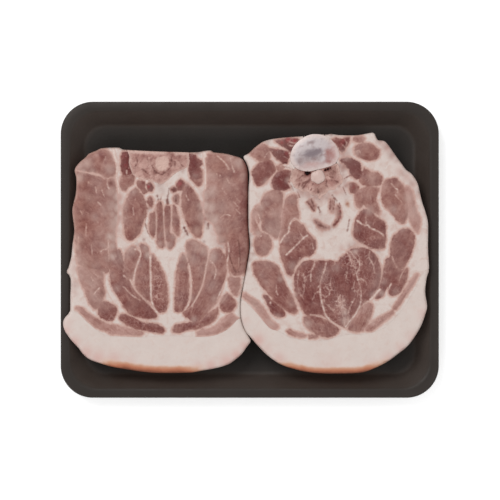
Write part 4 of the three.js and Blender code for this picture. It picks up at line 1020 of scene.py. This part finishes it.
# Strands in the big middle muscle, which fork all along.
RIGHT_FORKED = [
    (0.9, [(40, -5.3), (40, -9), (38, -13.4), (37.8, -19.6)]),
    (0.6, [(30.4, -13), (29.5, -20.8), (30.4, -25.8), (32.4, -28.3), (33.5, -25.8), (33.8, -20),
        (33.2, -14.6)]),
    (0.8, [(47.2, -8), (46.2, -12.8), (44.7, -16.5), (43.7, -20.8), (43.4, -25.8)]),
    (1.4, [(43.4, -25.8), (44.4, -31.4), (45.6, -36.4), (46.8, -40), (50, -43.8), (54.3, -47),
        (58.6, -49.4)]),
    (0.6, [(45.2, -19), (46.8, -22), (49, -25.2), (49.2, -28)]),
    (0.6, [(43.4, -25.2), (40.6, -27), (38.8, -30.8)]),
    (0.6, [(45.9, -30.8), (46.8, -33.3), (50, -35.8), (52.4, -38.9)]),
    (1.1, [(37.5, -40.1), (42, -41), (46.8, -42.6)]), (0.7, [(52.7, -6.2), (52.6, -9)]),
    (0.5, [(50, -18), (49.6, -22)]), (0.6, [(60.5, -11.5), (60, -15), (59.3, -19)]),
    (0.9, [(56, -28), (54.6, -31), (56, -34), (57, -38), (58.4, -44), (59, -47.6)]),
    (0.8, [(53, -31.6), (56, -32.6), (58.6, -31)]), (0.8, [(53.4, -34.6), (57, -35), (59.4, -37)]),
    (0.8, [(57.6, -28.6), (57.4, -33), (58.4, -38)]), (0.6, [(54, -29), (56.4, -30.4)]),
    (0.6, [(64.9, -30.2), (62.4, -34.5), (60.8, -39.5), (60.4, -44)]),
    (1.0, [(60.5, 0.9), (63, -2.2), (65.5, -5.3), (68, -8.4), (67.6, -11.5), (66.1, -14.6), (66.7, -18.4)]),
    (0.9, [(66.7, -18.4), (68.3, -22.7), (68.9, -27), (68.6, -32)]),
    (1.5, [(68.6, -32), (67.6, -35.8), (64.9, -40.7), (61.7, -44.4), (59.3, -47.6)]),
    (0.8, [(61.7, -4.1), (63, -8.4), (65.5, -11.5)]), (0.8, [(65.5, -1.6), (67.6, -4), (68, -8)]),
    (0.7, [(60, -1.6), (63.4, -6), (66, -8)]), (0.7, [(62.4, -10), (66, -9)]),
    (0.7, [(63.4, -1), (64, -5)]),
    (0.9, [(74.2, -1), (73.9, -4.7), (75.4, -7.8), (76.7, -10.3), (77, -14)]),
    (0.5, [(78, -7), (76.6, -9.6)]), (0.6, [(68.6, -17.7), (71.7, -19.6)]),
    (0.5, [(64.9, -19.6), (64.2, -23.3), (66.1, -25.8), (68, -23.6)]),
    (0.7, [(80.2, -6), (81.8, -12.1), (80.9, -19.6), (78.6, -25.4), (75.4, -31)]),
    (0.9, [(75.4, -31), (71.7, -32.6), (69, -35)]),
    (0.7, [(56.8, 0.4), (60, 0), (64, 2.4), (70, 3.2), (74.8, 1)]),
]
RIGHT_VEINS = [
    (0.7, [(55, 27.3), (56.3, 21.7), (54.2, 17.5), (52.2, 15.4)]),
    (0.6, [(43.6, 15.6), (45, 14.6), (47.4, 13.4)]), (0.5, [(40.3, 18), (42.8, 15.4), (44, 14.4)]),
    (0.9, [(35.4, 30), (37.6, 27), (40, 24)]), (0.9, [(37.9, 31.5), (39.6, 27)]),
    (1.0, [(42.3, 26.3), (43.4, 23.2)]), (0.7, [(49.8, 31.4), (49.6, 24.8)]),
    (1.2, [(51, 33.6), (53.7, 30.5)]), (0.6, [(52.4, 30), (51.6, 25)]), (0.8, [(61.5, 18.5), (60.4, 11.3)]),
    (0.8, [(55.4, 29), (56, 26)]), (0.6, [(24.4, 42), (27, 37)]), (0.5, [(22.6, 64), (25, 62)]),
    (0.5, [(20, 61), (22.4, 58)]), (0.5, [(29.4, 36), (31, 32.4)]), (0.5, [(57.6, 38.6), (59.6, 34)]),
    (0.7, [(23, 54), (18, 52.6)]), (0.5, [(20, 51.6), (24.6, 50.4), (30, 48)]),
    (0.6, [(58.6, 44), (62, 46)]),
]
# Dark stains, as soft round marks. The four at x near 0, from y 9 down to -12, are painted shade along the
# edge that lies against the left slice.
RIGHT_STAINS = [
    (104, 36, 2, 0.3), (95, 47.4, 2.4, 0.2), (11, 66.4, 1.8, 0.35), (26, 60.6, 1.4, 0.4),
    (33, 35.6, 3, 0.3), (43, 32, 3, 0.25), (48, 35, 2.4, 0.25), (26, 39, 2, 0.3), (60, 60, 2.4, 0.25),
    (62, 2, 1.6, 0.3), (92, -10, 4, 0.1), (88, 59, 2.8, 0.45), (91, 55.6, 2.2, 0.3), (80, 67, 1.8, 0.4),
    (84, 63.6, 2.6, 0.3), (100, 41.4, 2.4, 0.25), (50.4, 71, 1.4, 0.5), (64, 3, 3, 0.2),
    (31, 37.6, 2.4, 0.3), (36, 36.6, 2, 0.3), (40.6, 32.6, 2, 0.35), (46, 33.6, 2.4, 0.3), (52, 36, 2, 0.2),
    (43, 14.6, 2.4, 0.35), (53.6, 24, 2.6, 0.3), (2, -2.6, 1.8, 0.3), (44, 20, 3, 0.15),
    (58, 58.6, 2.6, 0.25), (61, 62, 2, 0.2), (40.6, 27, 1.6, 0.5), (53.6, 25.4, 1.8, 0.4),
    (55.2, 22, 1.6, 0.4), (44, 22, 1.4, 0.3), (46, 13, 2.6, 0.3), (42, 14.4, 1.8, 0.3),
    (34, 36.6, 1.6, 0.3), (45, 33, 1.4, 0.3), (58, 51, 2.4, 0.55), (60, 40, 1.4, 0.35), (0.6, 9, 1.8, 0.35),
    (0.6, 3, 1.8, 0.35), (-0.4, -6, 1.8, 0.35), (-1.2, -12, 1.8, 0.3), (79.6, -1, 1.6, 0.3),
    (55.8, 51.8, 2.2, 0.5), (57.6, 49, 1.6, 0.4), (55, 47, 1.4, 0.4), (41.6, 32, 1.4, 0.5),
    (47.6, 32, 1.6, 0.35), (54, 25, 1.6, 0.35), (48, 19, 3, 0.12), (38.6, 26.4, 1.8, 0.5),
    (39, 29.4, 1.4, 0.45), (50, 27, 1.4, 0.5), (52.2, 31, 1.2, 0.4), (55.2, 26, 1.4, 0.4),
    (41, 17.4, 2.0, 0.55), (43, 15.4, 2.0, 0.6), (46, 14, 1.8, 0.5), (49.4, 13.4, 1.8, 0.4),
    (52, 14.6, 1.6, 0.4), (60.4, 28.2, 1.3, 0.5), (37.4, 27.6, 2.0, 0.5), (36.6, 29.6, 1.4, 0.4),
    (51.6, 29.4, 1.6, 0.4), (42.6, 26.2, 0.9, 0.6), (43.8, 23.2, 0.8, 0.5), (55.6, 20, 1.8, 0.3),
    (59.6, 33, 3, 0.15), (26.6, 44, 2, 0.3), (58.6, 42, 2, 0.25), (26, 38.6, 2, 0.25), (37, 33.6, 3, 0.25),
    (48, 34.6, 3, 0.2), (53.4, 41.5, 1.0, 0.6), (55.3, 39.4, 1.0, 0.5), (59.3, 39.4, 1.2, 0.4),
    (57.4, 46.4, 1.2, 0.3), (6, 58, 0.8, 0.5), (30.5, 54.5, 1.0, 0.4), (22.6, 63.6, 1.2, 0.4),
    (26, 61.6, 1.0, 0.4), (58.8, 64.6, 1.2, 0.4),
]
# Pale hazy places, as on the left slice: partly fat just under the face, partly painted sheen of the moist
# face.
RIGHT_HAZES = [
    (19.1, -18.4, 1.7, 0.7), (74.3, 24.4, 3, 0.5), (89.3, 25, 3, 0.5), (53.2, -11.6, 2.6, 0.4),
    (10.4, 28.7, 2.6, 0.5), (24.4, -17, 1.5, 0.5), (26, -22, 1.5, 0.5), (27.8, -28, 1.5, 0.5),
    (29.8, -34, 1.5, 0.5), (65, -1, 1.9, 0.8), (45, -18, 3, 0.3), (10, 42, 2, 0.3), (83, -20, 2.4, 0.3),
    (73, 16, 2.4, 0.3), (66, 3.4, 3, 0.6), (83, 21, 2.4, 0.6), (92, 49, 3, 0.5), (26, -33, 2.4, 0.3),
    (80, -16, 2.4, 0.3), (7, -16, 3, 0.25), (10, 32, 3, 0.4), (22, 6, 2, 0.3), (95, 13, 3, 0.4),
    (32, 36, 3, 0.9), (36, 34.6, 3, 1.0), (40, 32, 3, 0.9), (45, 32.4, 3, 0.9), (49, 33.6, 3, 0.8),
    (53, 35, 3, 0.8), (57, 37, 3, 0.8), (85, 63, 3, 0.8), (82, 65.6, 2.4, 0.7), (89, 57.6, 2.6, 0.6),
    (97, 45, 3, 0.6), (101, 40, 2.6, 0.6), (104.4, 33, 2.4, 0.6), (108, 22, 2, 0.5), (81.6, -27, 2.2, 0.7),
    (77, -28, 2.4, 0.6), (59.4, -44, 3.2, 0.8), (58.6, -39, 2.4, 0.7), (13, 12, 5, 0.55), (5.4, 10, 2, 0.5),
    (66, 13, 3, 0.25), (13, -45, 3, 0.5), (17, -42, 2.4, 0.5), (3, -34, 3, 0.5), (57.6, 59, 2.6, 0.8),
    (53, 24, 4, 0.5), (46, 14, 4, 0.4), (40, 20, 3, 0.4), (13, 15, 5, 0.45), (9, 2, 4, 0.25),
    (7, 27, 3, 0.5), (61, 2.6, 3, 0.4), (57, 1, 2.6, 0.6), (56.6, 50, 3, 0.9), (58, 45, 3, 0.7),
    (56, 37.6, 2.6, 0.7), (33, 37, 3, 0.7), (50, 35, 3, 0.5), (24, 43, 2, 0.6), (27, 46, 2.4, 0.6),
    (26, -10, 3, 0.4), (46, -13, 4, 0.25), (103, 24, 4, 0.4), (60, 58, 3, 0.6), (66, 60, 2, 0.5),
    (59.6, 40, 2.4, 0.7), (10, -20, 2.4, 0.3), (35.4, -46, 2.6, 0.6), (75.6, -44, 2.6, 0.5),
    (57, -33, 2.4, 0.25), (31, -8, 2, 0.25), (78, -20, 3, 0.25), (14, 22, 4, 0.3), (26, 30, 3, 0.25),
    (75, 44, 4, 0.25), (98, 32, 3, 0.5), (100, 22, 3, 0.4), (9, -10, 4, 0.15), (72, 33, 3, 0.2),
    (4, 22, 4, 0.3), (91, 14, 3, 0.3), (14, 32, 4, 0.3), (90, -26, 3, 0.3), (84, 40, 3, 0.2),
]
RIGHT_WARM = [
    (60.4, 28.4, 1.4, 1.0), (61, 27, 1.0, 0.8), (26, 44, 2.4, 0.3), (52, 45, 3, 0.3), (93, 30, 5, 0.15),
]
RIGHT_BLOOD = [
    (24, 68.4, 2.6, 0.7), (27.6, 67.4, 2.0, 0.7), (20, 66.4, 1.6, 0.6), (22.6, 59.4, 2.0, 0.5),
    (56.8, 66, 2.0, 0.5), (58, 67.6, 1.6, 0.6), (64.2, 38.6, 1.6, 0.4), (55.7, 24, 1.3, 0.5),
    (55.7, 20, 1.4, 0.55), (53.8, 16.4, 1.4, 0.45), (16.4, 62, 1.6, 0.4), (63, 52, 3.0, 0.2),
    (19, 42, 3.0, 0.2),
]
RIGHT_MARBLED = [
    (56, -38, 5, 1.0), (55, -32, 4, 0.8), (62, -8, 4, 1.0), (66, -14, 4, 0.7), (60, -2, 3, 0.8),
    (46, -16, 5, 0.4), (50, -26, 5, 0.4), (72, -18, 5, 0.4), (36, -14, 4, 0.3), (44, -48, 5, 0.4),
    (76, 8, 4, 0.4), (30, 4, 5, 0.3), (95, -26, 5, 0.5), (80, -44, 6, 0.6), (6, -38, 6, 0.6),
]
right_outline = smooth_line(RIGHT_OUTLINE, True)
right_fat_ground = below(RIGHT_FAT_LINE)
plate_outline = smooth_line(END_PLATE, True)
arch_outline = smooth_line(ARCH, True)
cord_outline = smooth_line(
    [(CORD_MIDDLE[0] + r * np.cos(a), CORD_MIDDLE[1] + r * np.sin(a))
     for a, r in zip(np.arange(12) * np.pi / 6, CORD_RADIUS * np.array(CORD_WAVES))], True)
RIGHT_FAN = (59, -72)
TWIG_SEED = 8
slice_piece("right_slice_lean", lean_material,
            [(right_outline, True, 0.0), (right_fat_ground, False, SEAM), (plate_outline, False, 0.06),
             (arch_outline, False, SEAM)],
            right_outline, RIGHT_TOP, 1.5,
            {"fan": RIGHT_FAN, "muscles": RIGHT_MUSCLES,
             "strands": RIGHT_STRANDS + with_twigs(RIGHT_FORKED, TWIG_SEED), "veins": RIGHT_VEINS,
             "stains": RIGHT_STAINS, "hazes": RIGHT_HAZES, "marbled": RIGHT_MARBLED, "warm": RIGHT_WARM,
             "blood": RIGHT_BLOOD},
            touch=(-1.8, -1.2))

# Right slice, the back fat: a broad cream crescent round the slice's lower edge, with its rind outside.
# It goes through the slice, and has grown to the lean along a seam.
RIGHT_RIND = [(18, -71), (27, -74.4), (38, -76.6), (50, -77.2), (62, -77.2), (74, -75.4), (84, -71)]
RIGHT_BLUSH = [
    (18, -67.6, 4, 0.7), (10, -62, 4, 0.4), (5, -56, 4, 0.9), (86, -67.6, 4, 0.6), (94, -61, 4, 0.5),
    (101, -54, 4, 0.4), (108, -40, 4, 0.5), (50, -73, 8, 0.3), (-3, -44, 3, 0.3), (76, -72, 4, 0.4),
]
slice_piece("right_slice_back_fat", fat_material,
            [(right_outline, True, 0.0), (right_fat_ground, True, SEAM)],
            right_outline, RIGHT_TOP, EDGE_ROUNDING, {"fan": RIGHT_FAN, "hazes": RIGHT_BLUSH},
            rind_of(RIGHT_RIND, 5.4, 12, 92), (2, -2))

# Right slice, the vertebra's arch: brown spongy bone round the spinal canal, below the end plate. It is
# set in the lean. Two dark holes open between it and the plate, as its strongest stains: they are dented,
# and the shade in them is painted near-black.
ARCH_VEINS = [
    (0.9, [(37, 43.6), (34.6, 40.6), (33, 38)]), (0.8, [(39, 41), (38, 37)]),
    (0.9, [(48, 46), (51.6, 44.6)]), (0.7, [(46.6, 41), (48.6, 38)]), (0.7, [(33, 46), (30.4, 44)]),
    (0.8, [(50.4, 49.6), (54, 47.6)]), (0.6, [(42, 37.6), (42.6, 33)]),
    (0.7, [(35.6, 42.6), (33.6, 41.8), (32, 39)]), (0.6, [(31, 41), (30, 38.6)]),
    (0.6, [(36.6, 40), (36.4, 37)]), (0.6, [(49.6, 46.6), (50.6, 43)]), (0.6, [(47.6, 43.6), (47, 39.4)]),
    (0.5, [(44.4, 38.6), (44.6, 36)]), (0.5, [(52.4, 43), (54.6, 42)]), (0.5, [(40, 38.6), (39.6, 35.6)]),
    (0.5, [(53, 49), (51.6, 47.6)]),
]
ARCH_STAINS = [
    (28, 47, 2.2, 0.45), (34, 45.4, 1.4, 0.5), (35.6, 47.2, 1.6, 1.9), (37, 47.6, 1.0, 1.8),
    (34.6, 47.6, 1.0, 1.7), (46.8, 49.3, 1.0, 1.7), (48.4, 49.9, 1.0, 1.7), (49.8, 50.5, 0.8, 1.5),
    (53.7, 41.8, 1.4, 0.5), (31.6, 42.6, 1.4, 0.4), (51.4, 46.6, 1.6, 0.4), (33.6, 39.4, 1.6, 0.35),
    (41, 35.6, 1.6, 0.4), (36.4, 42.6, 1.6, 0.4),
]
ARCH_PALE = [(26, 45), (27, 48.6), (30, 48), (28.6, 44), (27, 41.6)]
slice_piece("right_slice_bone_arch", bone_material,
            [(right_outline, True, 0.0), (arch_outline, True, SEAM), (plate_outline, False, 0.06),
             (cord_outline, False, 0.06)],
            right_outline, RIGHT_TOP - 0.2, BONE_ROUNDING,
            {"fan": RIGHT_FAN, "veins": ARCH_VEINS, "stains": ARCH_STAINS},
            of_bone(arch_outline, ARCH_PALE, 0.7))

# Right slice, the vertebra's end plate: a glossy pearly dome of cartilage over bone, which shows grey-blue
# and pink through it. It is set in the lean against the arch, and stands above the meat round it.
PLATE_RISE = 1.6
DOME_FULLNESS = 0.9


def doming(bm, outline, high, rise):
    """Lifts a flat sheet into a dome that falls away towards its outline."""
    spots = np.array([vert.co[:2] for vert in bm.verts])
    depth = depth_inside(outline, spots, 40.0)
    share = np.clip(depth / depth.max(), 0, 1)
    for vert, part in zip(bm.verts, share):
        vert.co.z = high - rise * (1 - (1 - (1 - part) ** 2) ** DOME_FULLNESS)
    carry_down(bm)


def pearly_cartilage(tree, shader):
    cloud = patches(tree, 7.0, 3.0, 0.4, 0.2)
    wobble = swing(tree, patches(tree, 3.0, 4.0, 0.5))
    colour = blend(tree, cloud, srgb(178, 163, 163), srgb(196, 186, 186))
    rim = calc(tree, "MULTIPLY_ADD", wobble, 3.0, value_of(tree, "inside"))
    colour = blend(tree, step_between(tree, rim, 0.3, 3.6, 0.85, 0.0), colour, srgb(207, 188, 182))
    for name, shade in (("pink", (186, 144, 137)), ("blue", (98, 80, 88)), ("grey", (132, 108, 107)),
                        ("red", (146, 84, 76))):
        glowing = calc(tree, "MULTIPLY_ADD", wobble, 0.9, value_of(tree, name))
        colour = blend(tree, step_between(tree, glowing, 0.0, 0.9, 0.0, 0.8), colour, srgb(*shade))
    connect(tree, shader, {
        "Base Color": colour,
        "Roughness": 0.38,
        "Specular IOR Level": 0.5,
        "Coat Weight": 0.15,
        "Coat Roughness": 0.2,
        "Normal": bumps(tree, patches(tree, 5.0, 3.0), 0.6),
    })


def glow(spots, x, y, wide, high, turn=0.0):
    """An oval soft spot: 1 in its middle and fading outwards."""
    along = (spots[:, 0] - x) * np.cos(turn) + (spots[:, 1] - y) * np.sin(turn)
    across = (spots[:, 1] - y) * np.cos(turn) - (spots[:, 0] - x) * np.sin(turn)
    return np.exp(-(along / wide) ** 2 - (across / high) ** 2)


plate_mesh = cut_sheet([(plate_outline, True, 0.0)], CELL)
doming(plate_mesh, plate_outline, RIGHT_TOP + PLATE_RISE, PLATE_RISE)
plate_spots = np.array([vert.co[:2] for vert in plate_mesh.verts])
# Soft ovals of what shows through: strength, middle, half width, half height and turn.
PLATE_GLOWS = {
    "blue": [(1.0, 38.6, 59.4, 6.6, 3.2, 0.15), (0.3, 43, 61.4, 2.4, 1.4)],
    "grey": [(0.9, 38.2, 66.5, 2.8, 1.2, 0.25), (0.6, 31, 54.2, 2.4, 3.0, 0.6), (0.5, 36, 56, 7, 2.6),
             (0.5, 43.4, 57, 2.6, 2.4)],
    "red": [(0.6, 48.4, 61, 3, 2.4), (0.7, 49.2, 57, 3, 3.4), (0.4, 46, 54.4, 3, 1.4)],
    "pink": [(0.7, 38, 52.6, 9, 2.6, 0.1), (0.7, 51.6, 59, 3.4, 7)],
}
keep_values(plate_mesh, {
    **{name: sum(strength * glow(plate_spots, *oval) for strength, *oval in ovals)
       for name, ovals in PLATE_GLOWS.items()},
    "inside": depth_inside(plate_outline, plate_spots, 20.0),
})
plate = finished(plate_mesh, "right_slice_end_plate_cut")
plate.data.materials.append(surface("pearly cartilage", pearly_cartilage))
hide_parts("right_slice_end_plate")


# Right slice, the spinal cord: a soft cream round, cut across and a little domed. It lies in its canal in
# the bone and goes through the slice.
CORD_CELL = 0.4
CORD_RISE = 1.0


def cord_flesh(tree, shader):
    colour = blend(tree, patches(tree, 3.0, 3.0), srgb(190, 160, 151), srgb(208, 184, 176))
    connect(tree, shader, {
        "Base Color": colour,
        "Roughness": 0.35,
        "Normal": bumps(tree, patches(tree, 1.5, 3.0), 0.3),
    })


cord_mesh = cut_sheet([(cord_outline, True, 0.0)], CORD_CELL)
doming(cord_mesh, cord_outline, RIGHT_TOP + 0.6, CORD_RISE)
cord = finished(cord_mesh, "right_slice_spinal_cord_cut")
cord.data.materials.append(surface("spinal cord", cord_flesh))
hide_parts("right_slice_spinal_cord")

# Floor, light and camera: a plain white floor, soft light from all round with a gentle lamp above the top
# left, and a long lens that looks straight down at the middle of the tray.
floor_mesh = bmesh.new()
bmesh.ops.create_grid(floor_mesh, x_segments=1, y_segments=1, size=3.0)
floor_data = bpy.data.meshes.new("floor")
floor_mesh.to_mesh(floor_data)
floor_mesh.free()
floor = bpy.data.objects.new("floor", floor_data)
bpy.context.scene.collection.objects.link(floor)


def white_paper(tree, shader):
    connect(tree, shader, {
        "Base Color": (0.95, 0.95, 0.95, 1.0),
        "Roughness": 0.9,
        "Specular IOR Level": 0.1,
        "Emission Color": (1.0, 1.0, 1.0, 1.0),
        "Emission Strength": 0.4,
    })


floor_data.materials.append(surface("white floor", white_paper))

world = bpy.data.worlds.new("studio")
bpy.context.scene.world = world
world.use_nodes = True
world.node_tree.nodes["Background"].inputs["Color"].default_value = (1.0, 1.0, 1.0, 1.0)
world.node_tree.nodes["Background"].inputs["Strength"].default_value = 0.62


def soft_lamp(name, place, size, watts):
    """A square soft lamp that points at the tray."""
    light = bpy.data.lights.new(name, "AREA")
    light.size = size
    light.energy = watts
    lamp = bpy.data.objects.new(name, light)
    bpy.context.scene.collection.objects.link(lamp)
    lamp.location = place
    lamp.rotation_euler = (-Vector(place)).to_track_quat("-Z", "Y").to_euler()


soft_lamp("key_lamp", (-0.7, 0.9, 1.5), 0.8, 14.3)
soft_lamp("fill_lamp", (0.9, -0.5, 1.6), 1.0, 5.0)
soft_lamp("low_lamp", (-1.1, -0.9, 0.34), 0.4, 2.2)

# The view is as wide as the photo at the tray's rim, and its middle is a quarter of a pixel off the tray's.
VIEW_WIDTH = 0.3104
VIEW_SHIFT = 0.000155
RIM_HEIGHT = 0.015
LENS = 200.0
SENSOR = 36.0
camera_data = bpy.data.cameras.new("camera")
camera_data.lens = LENS
camera_data.sensor_width = SENSOR
camera = bpy.data.objects.new("camera", camera_data)
camera.location = (VIEW_SHIFT, -VIEW_SHIFT, RIM_HEIGHT + VIEW_WIDTH * LENS / SENSOR)
bpy.context.scene.collection.objects.link(camera)
bpy.context.scene.camera = camera
bpy.context.scene.view_settings.view_transform = "Standard"
